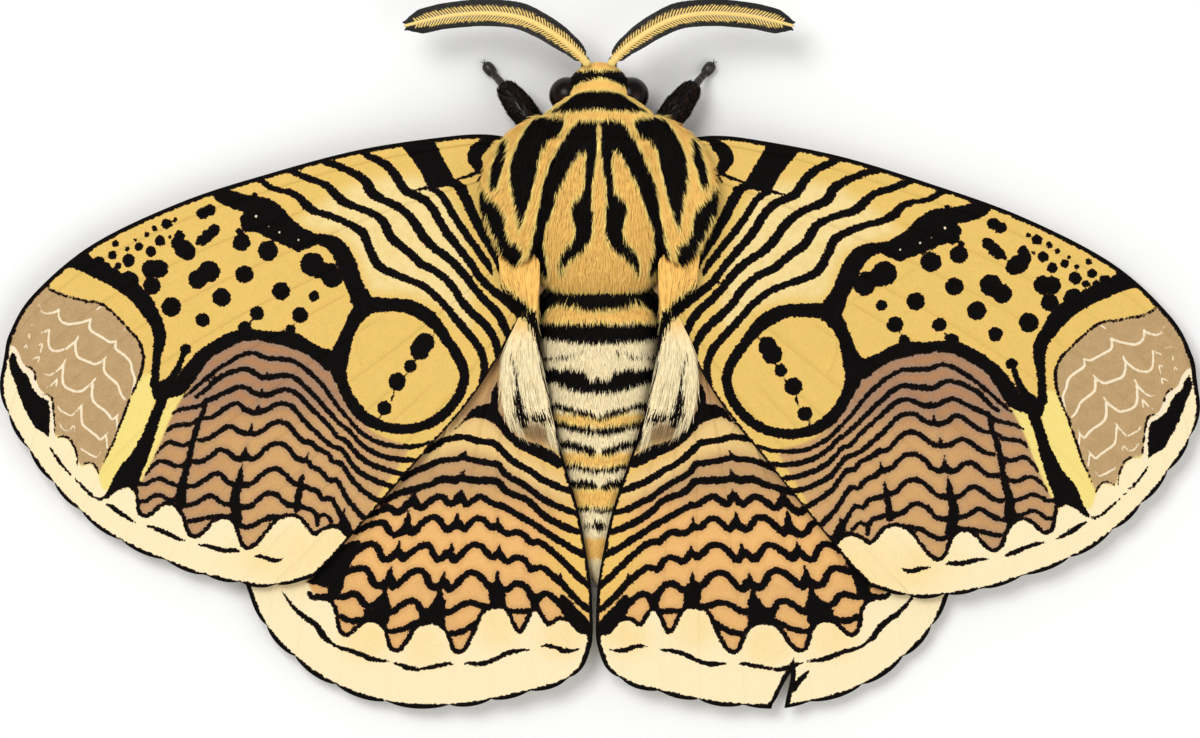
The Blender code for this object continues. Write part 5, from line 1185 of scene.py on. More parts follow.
bodyPatches = {
    "ringEnd": [
        (526, 272), (541, 275), (549, 288), (557, 294), (557, 306), (547, 311), (540, 322), (526, 324)],
    "crown": [
        (582, 124.5), (607, 124.5), (607, 127), (601, 128.5), (600.8, 140), (600, 158), (597, 175),
        (594, 190), (593.5, 205), (594.5, 220), (594, 232), (591.5, 243), (585, 251), (577, 257), (570, 263),
        (561, 275), (560.5, 266), (562, 259), (567, 251), (574, 245), (577.5, 238), (578, 231), (575.5, 221),
        (574.5, 213), (576, 205), (581, 199.5), (587, 193), (588.5, 180), (589.5, 165), (590, 156),
        (586, 155), (582, 157), (577, 164), (572, 173), (566, 184), (561, 195), (557, 207), (552, 220),
        (547, 232), (545.5, 243), (547, 255), (549.5, 265), (550, 277), (546, 275), (541, 271), (535, 267),
        (531, 265), (530, 258), (532, 250), (535, 241), (537, 231), (540, 218), (543, 203), (546, 190),
        (550, 178), (555, 167), (560, 157), (565, 149), (570, 140), (575, 132)],
    "crescent": [
        (540, 121), (548, 120.5), (560, 121), (570, 124), (567, 131), (562, 138), (553, 145), (545, 152),
        (542, 162), (540, 172), (538, 182), (534, 195), (531, 207), (526, 220), (522, 232), (520, 220),
        (517, 202), (514, 185), (514, 172), (517, 158), (522, 147), (527, 138), (532, 130)],
    "tegulaRim": [
        (476, 180), (482, 181), (485, 190), (491, 198), (495, 204), (501, 206), (505, 213), (508, 220),
        (508, 234), (513, 243), (519, 246), (523, 251), (524, 256), (521, 261), (516, 266), (514, 271),
        (511, 265), (507, 258), (503, 249), (498, 240), (493, 229), (489, 219), (483, 211), (480, 203),
        (477, 193)],
    "ring1": [
        (520, 268), (536, 268), (541, 277), (546, 285), (556, 289), (566, 291), (570, 294), (590, 294),
        (607, 292.5), (607, 312), (596, 311), (580, 309), (566, 306), (553, 304), (547, 309), (543, 315),
        (540, 320), (537, 330), (520, 330), (528, 315), (534, 300), (535, 285)],
    "ring2": [
        (520, 324), (540, 324), (556, 324), (575, 325), (590, 324.5), (596, 323), (600, 327), (607, 325),
        (607, 345), (590, 345), (575, 344), (560, 342), (548, 341), (541, 338), (530, 336)],
    "ring3": [
        (530, 364), (545, 363), (552, 368), (560, 371), (568, 369), (575, 372), (582, 371), (586, 378),
        (590, 381), (596, 380), (598, 374), (607, 372), (607, 395), (596, 394.5), (580, 393), (568, 390),
        (558, 386), (549, 381), (535, 380)],
    "ring8": [
        (560, 479), (571, 480), (580, 479.5), (588, 481), (592, 484), (594, 488), (590, 489.5), (582, 489),
        (573, 487), (562, 487)],
    "brow": [
        (612, 40), (560, 46), (530, 90), (526, 118), (538, 119), (541, 117.5), (552, 115.5), (570, 115),
        (585, 114), (612, 112)],
}
headBands = {  # yellow bands across the black head
    "face": [(578, 70, 4), (586, 67, 5.5), (596, 66, 6.3), (607, 66, 6.3)],
    "arch": [
        (540, 121, 1.8), (548, 117, 2), (556, 112, 2.2), (565, 106, 2.6), (573, 99, 3.2), (581, 93, 4.2),
        (590, 89.5, 5.4), (600, 88, 6.2), (607, 88, 6.2)],
}
bodyAreas = {
    "orange": [
        (612, 50), (570, 55), (540, 95), (520, 122), (480, 150), (470, 200), (490, 262), (500, 330),
        (535, 330), (540, 324), (612, 326)],
    "orangeRing1": [(540, 411), (612, 419), (612, 429), (545, 424)],
    "orangeRing2": [(555, 451), (612, 456), (612, 470), (560, 464)],
    "orangeRing3": [(565, 488), (612, 489), (612, 509), (570, 507)],
    "orangeTail": [(585, 538), (608, 538), (608, 560), (585, 560)],
}
hairMarks = {
    # the shoulder stroke is painted shadow: a black streak across the hair below the shoulder tufts
    "shoulder": [
        (494, 280, 3), (505, 296, 6), (513, 303, 6.5), (522, 311, 6.5), (530, 318, 6), (536, 328, 5),
        (539, 342, 3)],
    "inner": [(538, 330, 3.4), (541, 350, 3), (545, 374, 3), (549, 398, 3), (554, 425, 3), (562, 458, 3)],
    "part": [(512, 357, 0.8), (514, 375, 1.8), (516, 395, 2.3), (518, 410, 3), (520, 424, 4)],
    "tips": [(515, 413, 3), (522, 416, 5), (530, 417, 5.2), (538, 418, 5), (545, 421, 3.5)],
    "end": [
        (498, 416, 1), (502, 428, 3), (510, 440, 5), (520, 450, 6), (535, 455, 6), (548, 459, 6),
        (558, 466, 5)],
}
greyPatch = [(518, 424), (530, 422), (543, 425), (546, 443), (535, 448), (524, 443)]
# the abdomen's edge on the drawing, as x at each y
abdomenEdge = {"y": [285, 330, 345, 360, 380, 400, 420, 440, 460, 480, 500, 520, 540, 565],
               "x": [536, 538, 543, 549, 551, 553, 557, 563, 568, 573, 579, 585, 590, 594]}


def axisAt(py):
    return bodyAxis["place"] + bodyAxis["lean"] * (py - bodyAxis["from"])


def foldBody(x, y):
    # a body place as a place on the drawing's left half
    py = drawing["middleY"] - y / drawing["pixel"]
    return np.stack([axisAt(py) - np.abs(x) / drawing["pixel"], py], axis=-1)


def bodyValues(x, y, z):
    places = foldBody(x, y)
    # what hangs below the abdomen's sides takes the rings' ends
    py = places[:, 1]
    limit = np.interp(py, abdomenEdge["y"], abdomenEdge["x"]) + 3
    places[:, 0] = np.where(py > abdomenEdge["y"][0], np.maximum(places[:, 0], limit), places[:, 0])
    ink, bands = np.full(len(places), unmarked), np.full(len(places), unmarked)
    for stroke in bodyStrokes.values():
        strokeField(ink, places, stroke, 12.0)
    for outline in bodyPatches.values():
        ink = np.maximum(ink, insideField(places, outline))
    for stroke in headBands.values():
        strokeField(bands, places, stroke, 12.0)
    orange = np.zeros(len(places))
    for outline in bodyAreas.values():
        orange = np.maximum(orange, smoothStep(-2.0, 2.0, insideField(places, outline)))
    belly = smoothStep(9.2, 6.4, z) * smoothStep(11.0, 16.0, y) * smoothStep(46.0, 41.0, y)
    belly = np.maximum(belly, smoothStep(4.6, 2.8, z) * 0.6)
    return {"ink": np.minimum(ink, -bands) * drawing["pixel"], "orange": orange, "belly": belly,
            "grey": np.zeros(len(places))}


def hairValues(x, y):
    # what is drawn on the long hair: orange at the shoulders, cream behind, with black edges, a grey patch
    # and painted shadow below the shoulder tufts
    places = foldBody(x, y)
    ink = np.full(len(places), unmarked)
    for stroke in hairMarks.values():
        strokeField(ink, places, stroke, 12.0)
    return {"ink": ink * drawing["pixel"], "orange": smoothStep(348.0, 312.0, places[:, 1]),
            "belly": np.zeros(len(places)), "grey": smoothStep(-2.0, 2.0, insideField(places, greyPatch))}


def laySphere(name, rows, columns, placed):
    # a sphere primitive whose rings are laid along stations: placed(share, angle) gives the points
    bpy.ops.object.select_all(action="DESELECT")
    bpy.ops.mesh.primitive_uv_sphere_add(segments=columns, ring_count=rows, radius=1.0)
    obj = bpy.context.object
    obj.name = name
    mesh = obj.data
    found = np.zeros(len(mesh.vertices) * 3)
    mesh.vertices.foreach_get("co", found)
    found = found.reshape(-1, 3)
    share = np.arccos(np.clip(found[:, 2], -1.0, 1.0)) / math.pi
    angle = np.arctan2(found[:, 1], found[:, 0])
    mesh.vertices.foreach_set("co", (placed(share, angle) * mm).ravel())
    bpy.ops.object.mode_set(mode="EDIT")
    bpy.ops.mesh.select_all(action="SELECT")
    bpy.ops.mesh.normals_make_consistent(inside=False)
    bpy.ops.object.mode_set(mode="OBJECT")
    bpy.ops.object.shade_smooth()
    return obj


def onStations(stations):
    path = smoothPath(stations, 12)

    def placed(share, angle):
        y, halfWidth, halfHeight, z = placeOn(path, share).T
        halfWidth, halfHeight = np.maximum(halfWidth, 0.0), np.maximum(halfHeight, 0.0)
        return np.stack([halfWidth * np.cos(angle), y, z + halfHeight * np.sin(angle)], axis=-1)
    return placed


def onTegula(side):
    # rolled down outwards about its own middle line
    roll = math.radians(skinShape["tegulaRoll"])
    path = smoothPath(tegulaStations, 12)

    def placed(share, angle):
        y, x, halfWidth, halfHeight, z = placeOn(path, share).T
        across = np.maximum(halfWidth, 0.0) * np.cos(angle)
        up = np.maximum(halfHeight, 0.0) * np.sin(angle)
        return np.stack([side * (x + across * math.cos(roll) + up * math.sin(roll)), y,
                         z + up * math.cos(roll) - across * math.sin(roll)], axis=-1)
    return placed


def shrinkForm(obj, depth):
    push = obj.modifiers.new("CoatDepth", "DISPLACE")
    push.mid_level = 0.0
    push.strength = -depth * mm
    bpy.context.view_layer.objects.active = obj
    bpy.ops.object.modifier_apply(modifier=push.name)


def vertexNormals(mesh):
    found = np.zeros(len(mesh.vertices) * 3)
    mesh.vertex_normals.foreach_get("vector", found)
    return found.reshape(-1, 3)


def planMap(x, y, up):
    # the skin unwrapped as two plans, its top in the map's left half and its underside in the right
    return np.stack([np.where(up, 0.25, 0.75) + x / 80.0, 0.5 + y / 110.0], axis=-1)


def makeSkin():
    forms = []
    for name, stations in (("thorax", thoraxStations), ("collar", collarStations), ("head", headStations),
                           ("abdomen", abdomenStations)):
        form = laySphere(name + "Form", 60, 64, onStations(stations))
        shrinkForm(form, skinShape["coatDepth"][name])
        forms.append(form)
    for side in sides.values():
        form = laySphere("tegulaForm", 48, 48, onTegula(side))
        shrinkForm(form, skinShape["coatDepth"]["tegula"])
        forms.append(form)
    skin = joinForms("bodySkin", forms)
    melt = skin.modifiers.new("OneSkin", "REMESH")
    melt.mode = "VOXEL"
    melt.voxel_size = skinShape["voxel"]
    bpy.ops.object.modifier_apply(modifier=melt.name)
    ease = skin.modifiers.new("Ease", "SMOOTH")
    ease.iterations = skinShape["smoothing"]
    ease.factor = 0.5
    bpy.ops.object.modifier_apply(modifier=ease.name)
    bpy.ops.object.shade_smooth()
    mesh = skin.data
    places = vertexPlaces(mesh)
    addValues(mesh, bodyValues(places[:, 0], places[:, 1], places[:, 2]))
    addValues(mesh, {"shade": np.full(len(places), 0.35), "along": np.full(len(places), 0.3)})
    mapFaces(mesh, places)
    return skin


def mapFaces(mesh, places):
    while mesh.uv_layers:
        mesh.uv_layers.remove(mesh.uv_layers[0])
    layer = mesh.uv_layers.new(name="OFBake")
    corner = np.zeros(len(mesh.loops), np.int32)
    mesh.loops.foreach_get("vertex_index", corner)
    totals = np.zeros(len(mesh.polygons), np.int32)
    mesh.polygons.foreach_get("loop_total", totals)
    normals = np.zeros(len(mesh.polygons) * 3)
    mesh.polygons.foreach_get("normal", normals)
    up = np.repeat(normals.reshape(-1, 3)[:, 2] > 0, totals)
    flat = planMap(places[corner, 0], places[corner, 1], up)
    layer.uv.foreach_set("vector", flat.astype(np.float32).ravel())


def orderedTriangles(mesh):
    # the faces split into triangles, each from its lowest vertex, in an order that is the same in every run
    totals, starts = np.zeros(len(mesh.polygons), np.int32), np.zeros(len(mesh.polygons), np.int32)
    mesh.polygons.foreach_get("loop_total", totals)
    mesh.polygons.foreach_get("loop_start", starts)
    corners = np.zeros(len(mesh.loops), np.int32)
    mesh.loops.foreach_get("vertex_index", corners)
    ring = corners[starts[:, None] + np.minimum(np.arange(4), totals[:, None] - 1)]
    ring = np.take_along_axis(ring, (np.arange(4) + np.argmin(ring, axis=1)[:, None]) % 4, axis=1)
    triangles = np.concatenate([ring[:, (0, 1, 2)], ring[:, (0, 2, 3)]])
    return triangles[np.lexsort(triangles.T)]


def scatterRoots(obj, spacing, seed, undersideLoss=0.0):
    # evenly spread places on the skin, with their normals, fewer of them on its underside
    chance = np.random.default_rng(seed)
    mesh = obj.data
    corners = orderedTriangles(mesh)
    places, normals = vertexPlaces(mesh), vertexNormals(mesh)
    a, b, c = [places[corners[:, k]] for k in range(3)]
    areas = np.linalg.norm(np.cross(b - a, c - a), axis=1) / 2
    count = int(areas.sum() / spacing ** 2 * 2.4)
    picked = chance.choice(len(areas), size=count, p=areas / areas.sum())
    s, t = chance.random((2, count))
    over = s + t > 1
    s[over], t[over] = 1 - s[over], 1 - t[over]
    weights = np.stack([1 - s - t, s, t], axis=-1)[:, :, None]
    roots = (places[corners[picked]] * weights).sum(axis=1)
    facing = (normals[corners[picked]] * weights).sum(axis=1)
    facing /= np.linalg.norm(facing, axis=1)[:, None]
    cells = np.floor(roots / spacing).astype(np.int64)
    key = cells[:, 0] * 73856093 ^ cells[:, 1] * 19349663 ^ cells[:, 2] * 83492791
    first = np.unique(key, return_index=True)[1]
    roots, facing = roots[first], facing[first]
    kept = chance.random(len(roots)) < 1.0 - undersideLoss * smoothStep(-0.1, -0.6, facing[:, 2])
    return roots[kept], facing[kept], chance


def buildHairs(name, points, normals, shape, values, flat, material):
    # one mesh of many tufts or hairs: each has its row of points, and shape gives the faces of one
    count, size = points.shape[:2]
    faces = (np.arange(count)[:, None, None] * size + np.array(shape)[None]).reshape(-1, 3)
    mesh = bpy.data.meshes.new(name)
    mesh.vertices.add(count * size)
    mesh.vertices.foreach_set("co", (points * mm).ravel())
    mesh.loops.add(len(faces) * 3)
    mesh.loops.foreach_set("vertex_index", faces.ravel())
    mesh.polygons.add(len(faces))
    mesh.polygons.foreach_set("loop_start", np.arange(len(faces)) * 3)
    mesh.update(calc_edges=True)
    mesh.polygons.foreach_set("use_smooth", np.ones(len(faces), bool))
    addValues(mesh, values)
    layer = mesh.uv_layers.new(name="OFBake")
    layer.uv.foreach_set("vector", flat.reshape(-1, 2)[faces.ravel()].astype(np.float32).ravel())
    mesh.validate()
    # they are lit as the coat that they form, not as single blades
    mesh.normals_split_custom_set_from_vertices(unit(normals.reshape(-1, 3)).tolist())
    obj = bpy.data.objects.new(name, mesh)
    bpy.context.scene.collection.objects.link(obj)
    obj.data.materials.append(material)
    return obj


def makeTufts(name, roots, facing, rise, lie, lengths, widths, values, uv, material):
    # each tuft leaves along rise, bends over to lie, and tapers to a point
    count = len(roots)
    across = unit(np.cross(rise, lie))
    upward = np.cross(lie, across)
    low = roots - rise * furShape["sink"]
    middle = roots + rise * (lengths * furShape["bend"])[:, None]
    tip = middle + lie * (lengths * (1 - furShape["bend"]))[:, None]
    points = np.zeros((count, 7, 3))
    normals = np.tile(facing[:, None, :], (1, 7, 1))
    for k in range(3):
        turn = math.tau * k / 3 + math.pi / 2
        spread = across * math.cos(turn) + upward * math.sin(turn) * 0.55
        points[:, k] = low + spread * widths[:, None] * 0.5
        points[:, 3 + k] = middle + spread * widths[:, None] * 0.42
        normals[:, k] += spread * furShape["roundness"]
        normals[:, 3 + k] += spread * furShape["roundness"]
    points[:, 6] = tip
    shape = [(0, 2, 1), (0, 1, 4), (0, 4, 3), (1, 2, 5), (1, 5, 4), (2, 0, 3), (2, 3, 5), (3, 4, 6),
             (4, 5, 6), (5, 3, 6)]
    spreadValues = {key: np.repeat(found, 7) for key, found in values.items()}
    spreadValues["along"] = np.tile([0.0, 0.0, 0.0, 0.55, 0.55, 0.55, 1.0], count)
    patch = np.array([(-1, -1), (1, -1), (0, -1), (-1, 0), (1, 0), (0, 0), (0, 1)]) * mapPatch
    return buildHairs(name, points, normals, shape, spreadValues, uv[:, None, :] + patch[None], material)


def softNoise(places, scale, seed):
    # smooth values from 0 to 1 that drift over space, as a sum of waves in seeded directions
    chance = np.random.default_rng(seed)
    total = np.zeros(len(places))
    for _ in range(9):
        wave = chance.normal(size=3) * scale
        total += np.sin(places @ wave + chance.random() * math.tau)
    return 0.5 + total / 9.0


def unit(vectors):
    return vectors / np.maximum(np.linalg.norm(vectors, axis=1), 1e-9)[:, None]


def laidOn(facing, direction):
    # the direction laid flat on the skin
    return unit(direction - facing * np.sum(facing * direction, axis=1)[:, None])


mapPatch = 0.0015  # the room that one tuft or hair takes on the UV map
# the coat in millimetres, and in shares: its lift, bend and roundness, and the loss on the underside
furShape = {
    "spacing": 0.183, "width": 0.138, "sink": 0.12, "tegulaLength": 1.9,
    "lift": 0.24, "bend": 0.55, "swirl": 0.3, "jitter": 0.11, "undersideLoss": 0.55, "roundness": 0.35,
    "pieceTufts": 19500, "seed": 11,
}
# the fur's length at each forward place
furLengths = {"y": [-36, -30, -10, 7, 9, 12, 30, 34, 38, 41, 44.5],
              "length": [0.8, 1.1, 1.35, 1.4, 2.0, 2.3, 2.3, 1.8, 1.2, 0.9, 0.7]}
furFinish = {"roughness": 0.75, "specular": 0.1}


def combBody(roots, facing):
    # rearwards over the back, outwards on the shoulders, forwards and down on the face
    x, y, z = roots.T
    side = np.sign(x)
    outward = 0.42 * smoothStep(3.0, 14.0, np.abs(x)) * smoothStep(6.0, 14.0, y)
    front = smoothStep(40.6, 42.6, y)
    downward = 0.25 * smoothStep(9.0, 6.0, z) + 0.7 * front
    turn = (softNoise(roots, 1.1, 3) - 0.5) * 2 * furShape["swirl"]
    direction = np.stack([side * outward + turn, -1.0 + 1.5 * front, -downward], axis=-1)
    return laidOn(facing, unit(direction))


def bodyLengths(roots):
    x, y, z = roots.T
    onTegula = smoothStep(9.0, 11.5, np.abs(x)) * smoothStep(14.0, 16.0, y) * smoothStep(10.0, 11.0, z)
    length = np.interp(y, furLengths["y"], furLengths["length"])
    return length * (1 - onTegula) + furShape["tegulaLength"] * onTegula


def makeCoat(skin, material):
    roots, facing, chance = scatterRoots(skin, furShape["spacing"], furShape["seed"],
                                         furShape["undersideLoss"])
    comb = combBody(roots, facing)
    jitter = chance.normal(size=(len(roots), 3)) * furShape["jitter"]
    lift = furShape["lift"] * (0.7 + 0.6 * softNoise(roots, 2.2, 5))
    rise = unit(comb + facing * lift[:, None] + jitter)
    lie = unit(comb + facing * (lift * 0.05)[:, None] + jitter * 0.7)
    lengths = bodyLengths(roots) * (0.75 + 0.5 * chance.random(len(roots)))
    widths = furShape["width"] * (0.8 + 0.5 * chance.random(len(roots)))
    seen = roots + lie * (lengths * 0.55)[:, None]
    values = bodyValues(seen[:, 0], seen[:, 1], roots[:, 2])
    values["ink"] += chance.normal(size=len(roots)) * 0.07
    values["shade"] = chance.random(len(roots)) * 0.7 + 0.3 * softNoise(roots, 3.0, 9)
    uv = planMap(roots[:, 0], roots[:, 1], facing[:, 2] > 0)
    # the coat's pieces follow each other from the tail to the head
    order = np.argsort(roots[:, 1])
    for number, start in enumerate(range(0, len(order), furShape["pieceTufts"])):
        part = order[start:start + furShape["pieceTufts"]]
        chosen = {key: found[part] for key, found in values.items()}
        piece = makeTufts(f"bodyFur_{number + 1}", roots[part], facing[part], rise[part], lie[part],
                          lengths[part], widths[part], chosen, uv[part], material)
        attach(piece, "root")
    print("body tufts", len(roots))


# the long hair from the shoulders over the wing roots: each guide is a way from root to tip, in pixels
hairGuides = [
    [(500, 258), (502, 272), (504, 288), (509, 301)],
    [(506, 250), (508, 272), (512, 291), (519, 311)],
    [(514, 247), (517, 272), (522, 295), (527, 322)],
    [(523, 247), (526, 275), (529, 300), (531, 332)],
    [(532, 250), (533, 280), (534, 304), (535, 342)],
    [(541, 262), (540, 284), (537, 306), (537, 350)],
]
paleGuides = [
    [(517, 322), (507, 345), (501, 372), (501, 400), (505, 420), (512, 436)],
    [(519, 318), (511, 345), (507, 375), (508, 405), (513, 427), (517, 442)],
    [(522, 316), (517, 345), (515, 378), (517, 405), (521, 428), (527, 448)],
    [(526, 314), (523, 345), (525, 375), (528, 402), (533, 425), (540, 450)],
    [(530, 314), (531, 340), (535, 378), (540, 404), (546, 428), (553, 456)],
    [(534, 316), (538, 345), (542, 374), (546, 398), (552, 425), (560, 462)],
]
# shares: how far down its guide a hair may begin, and how long it is on average
longHair = {
    "shoulderHair": {"guides": hairGuides, "count": 2200, "shares": (0.6, 0.5), "lift": 0.75, "rootLift": 1.2,
                     "seed": 23},
    "paleHair": {"guides": paleGuides, "count": 3000, "shares": (0.75, 0.34), "lift": 0.15, "rootLift": 0.3,
                 "seed": 24},
}
hairShape = {"segments": 5, "width": 0.13, "arch": 0.75, "sway": 2.2, "inkNoise": 0.28}


def hairHeight(x, y):
    # just over whichever wing or flank is highest there
    behind = smoothStep(3.0, -8.0, y)
    wings = forewingHeight(x, y) * (1 - behind) + hindwingHeight(x, y) * behind
    return np.maximum(wings + 0.3, abdomenTop(x, y) + 0.35)


def makeHair(name, hair, side, material):
    chance = np.random.default_rng(hair["seed"])
    count, latest, reach = hair["count"], *hair["shares"]
    paths = [smoothPath(guide, 12) for guide in hair["guides"]]
    which = chance.random(count) * (len(paths) - 1)
    low = np.minimum(which.astype(int), len(paths) - 2)
    blend = (which - low)[:, None]
    begin = chance.random(count) ** 1.5 * latest
    end = 0.6 + 0.4 * chance.random(count) ** 0.8
    end = np.minimum(end, begin + reach * (0.7 + 0.6 * chance.random(count)))
    end = np.maximum(end, begin + 0.15)
    rings = hairShape["segments"] + 1
    steps = np.linspace(0.0, 1.0, rings)
    sway = chance.normal(size=(count, 2)) * hairShape["sway"]
    layer = chance.random(count)
    line = np.zeros((count, rings, 3))
    for k, step in enumerate(steps):
        share = begin + (end - begin) * step
        allPlaces = np.stack([placeOn(path, share) for path in paths])
        places = allPlaces[low, np.arange(count)] * (1 - blend) + allPlaces[low + 1, np.arange(count)] * blend
        places = places + sway * (step ** 1.5)
        x = (axisAt(places[:, 1]) - places[:, 0]) * drawing["pixel"]
        y = (drawing["middleY"] - places[:, 1]) * drawing["pixel"]
        arch = hairShape["arch"] * math.sin(math.pi * min(1.0, step * 0.9 + 0.05)) * (0.4 + layer)
        z = hairHeight(x, y) + hair["lift"] * (1 - 0.7 * step) + arch
        z = z + hair["rootLift"] * (1 - step) ** 2 * (0.4 + 0.6 * layer)
        line[:, k] = np.stack([x * side, y, z], axis=-1)
    runs = np.diff(line, axis=1)
    runs = np.concatenate([runs, runs[:, -1:]], axis=1)
    runs /= np.linalg.norm(runs, axis=2)[:, :, None]
    across = np.cross(np.array([0.0, 0.0, 1.0]), runs)
    across /= np.linalg.norm(across, axis=2)[:, :, None]
    upward = np.cross(runs, across)
    widths = hairShape["width"] * (0.7 + 0.6 * chance.random(count))
    perHair = rings * 3 - 2
    points = np.zeros((count, perHair, 3))
    normals = np.zeros_like(points)
    for k in range(rings - 1):
        taper = 1.0 - 0.75 * (k / (rings - 1)) ** 1.6
        for c in range(3):
            turn = math.tau * c / 3 + math.pi / 2
            spread = across[:, k] * math.cos(turn) + upward[:, k] * math.sin(turn) * 0.6
            points[:, k * 3 + c] = line[:, k] + spread * (widths * taper)[:, None] * 0.5
            normals[:, k * 3 + c] = upward[:, k] + spread * furShape["roundness"]
    points[:, -1] = line[:, -1]
    normals[:, -1] = upward[:, -1]
    shape = [(0, 2, 1)]
    for k in range(rings - 2):
        for c in range(3):
            a, b = k * 3 + c, k * 3 + (c + 1) % 3
            shape += [(a, b, b + 3), (a, b + 3, a + 3)]
    last, tip = (rings - 2) * 3, (rings - 1) * 3
    shape += [(last + c, last + (c + 1) % 3, tip) for c in range(3)]
    values = hairValues(points[:, :, 0].ravel(), points[:, :, 1].ravel())
    values["ink"] += np.repeat(chance.normal(size=count) * hairShape["inkNoise"], perHair)
    values["shade"] = np.repeat(chance.random(count), perHair)
    values["along"] = np.tile(np.minimum(1.0, 0.35 + np.repeat(steps, 3)[:perHair]), count)
    root = planMap(line[:, 0, 0], line[:, 0, 1], np.ones(count, bool))
    patch = [((c - 1) * 0.5, k / (rings - 1) * 2 - 1) for k in range(rings - 1) for c in range(3)] + [(0, 1)]
    flat = root[:, None, :] + np.array(patch)[None] * mapPatch
    obj = buildHairs(name, points, normals, shape, values, flat, material)
    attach(obj, "root")


furColours = {"cream": "FFF0C4", "creamDeep": "FFE6B2", "orange": "FFCE74", "orangeDeep": "FDC264",
              "yellow": "FAE184", "belly": "6B4426", "grey": "A5875F", "black": "040302",
              "blackTip": "0D0705"}


def makeFurGroup():
    group = bpy.data.node_groups.new("furColour", "ShaderNodeTree")
    for name in ("Ink", "Orange", "Belly", "Grey", "Shade", "Along", "Ragged"):
        group.interface.new_socket(name=name, in_out="INPUT", socket_type="NodeSocketFloat")
    group.interface.new_socket(name="Colour", in_out="OUTPUT", socket_type="NodeSocketColor")
    given = group.nodes.new("NodeGroupInput").outputs
    result = group.nodes.new("NodeGroupOutput").inputs
    colour = {key: hexColour(found) for key, found in furColours.items()}
    ink = mathNode(group, "ADD", given["Ink"], given["Ragged"])
    cream = mixColours(group, given["Shade"], colour["creamDeep"], colour["cream"])
    orange = mixColours(group, given["Shade"], colour["orangeDeep"], colour["orange"])
    orange = mixColours(group, stepNode(group, ink, -0.65, -0.05, 0.0, 0.75), orange, colour["yellow"])
    ground = mixColours(group, given["Orange"], cream, orange)
    ground = mixColours(group, given["Grey"], ground, colour["grey"])
    black = mixColours(group, given["Shade"], colour["black"], colour["blackTip"])
    worn = mixColours(group, stepNode(group, ink, -0.03, 0.05), ground, black)
    worn = mixColours(group, mathNode(group, "MULTIPLY", given["Belly"], 0.85), worn, colour["belly"])
    atRoot = stepNode(group, given["Along"], 0.0, 0.3, 0.06, 0.0)
    shaded = mixColours(group, atRoot, worn, (0.02, 0.012, 0.006))
    group.links.new(shaded, result["Colour"])
    return group


def makeFurMaterial(name, group, skin=False):
    made, tree, shader = newMaterial(name)
    place = tree.nodes.new("ShaderNodeTexCoord").outputs["Object"]
    streak = noiseOf(tree, place, 2600.0, 2.0)
    node = tree.nodes.new("ShaderNodeGroup")
    node.node_tree = group
    for socket, attribute in (("Ink", "ink"), ("Orange", "orange"), ("Belly", "belly"), ("Grey", "grey"),
                              ("Shade", "shade"), ("Along", "along")):
        link(tree, valueOf(tree, attribute), node.inputs[socket])
    link(tree, mathNode(tree, "MULTIPLY_ADD", streak, 0.12, -0.06), node.inputs["Ragged"])
    link(tree, node.outputs["Colour"], shader.inputs["Base Color"])
    shader.inputs["Roughness"].default_value = furFinish["roughness"]
    shader.inputs["Specular IOR Level"].default_value = furFinish["specular"]
    if skin:
        addBump(tree, shader, streak, skinShape["bump"], skinShape["bumpDepth"])
    return made


furGroup = makeFurGroup()
skinMaterial = makeFurMaterial("bodySkin", furGroup, skin=True)
furMaterial = makeFurMaterial("bodyFur", furGroup)
bodySkin = makeSkin()
bodySkin.data.materials.append(skinMaterial)
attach(bodySkin, "root")
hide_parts("head", "collar", "thorax", "abdomen", "tegula_left", "tegula_right")
report(f"skin, {len(bodySkin.data.polygons)} faces")
makeCoat(bodySkin, furMaterial)
report("coat")
for label, side in sides.items():
    for name, hair in longHair.items():
        makeHair(f"{name}_{label}", hair, side, furMaterial)
report("long hair")


def frameAlong(line):
    # for each point of a line: its run, a level direction across it and the third direction
    runs = np.gradient(line, axis=0)
    runs = unit(runs)
    across = np.cross(runs, np.array([0.0, 0.0, 1.0]))
    flat = np.linalg.norm(across, axis=1) < 1e-3
    across[flat] = (1.0, 0.0, 0.0)
    across = unit(across)
    return runs, across, np.cross(across, runs)


def makeTube(name, line, radii, sidesRound=12, squash=1.0):
    # a closed tube with rounded ends: a sphere primitive whose rings follow the line
    line, radii = np.array(line, float), np.array(radii, float)
    runs, across, upward = frameAlong(line)
    rings = len(line) - 1

    def placed(share, angle):
        k = np.clip(np.round(share * rings).astype(int), 0, rings)
        spread = across[k] * np.cos(angle)[:, None] + upward[k] * np.sin(angle)[:, None] * squash
        return line[k] + spread * radii[k][:, None]
    return laySphere(name, rings, sidesRound, placed)


def limbLine(start, end, radius, profile, steps=14):
    # the places and radii of one limb piece, thinning at its ends as profile says
    share = np.linspace(0.0, 1.0, steps)
    line = np.array(start)[None] * (1 - share)[:, None] + np.array(end)[None] * share[:, None]
    stops, fullness = zip(*profile)
    radii = radius * np.interp(share, stops, fullness)
    radii[0] = radii[-1] = 0.0
    inset = np.linalg.norm(np.array(end) - np.array(start)) * 0.012
    run = unit((line[-1] - line[0])[None])[0]
    line[-2] = line[-1] - run * inset
    line[1] = line[0] + run * inset
    return line, radii


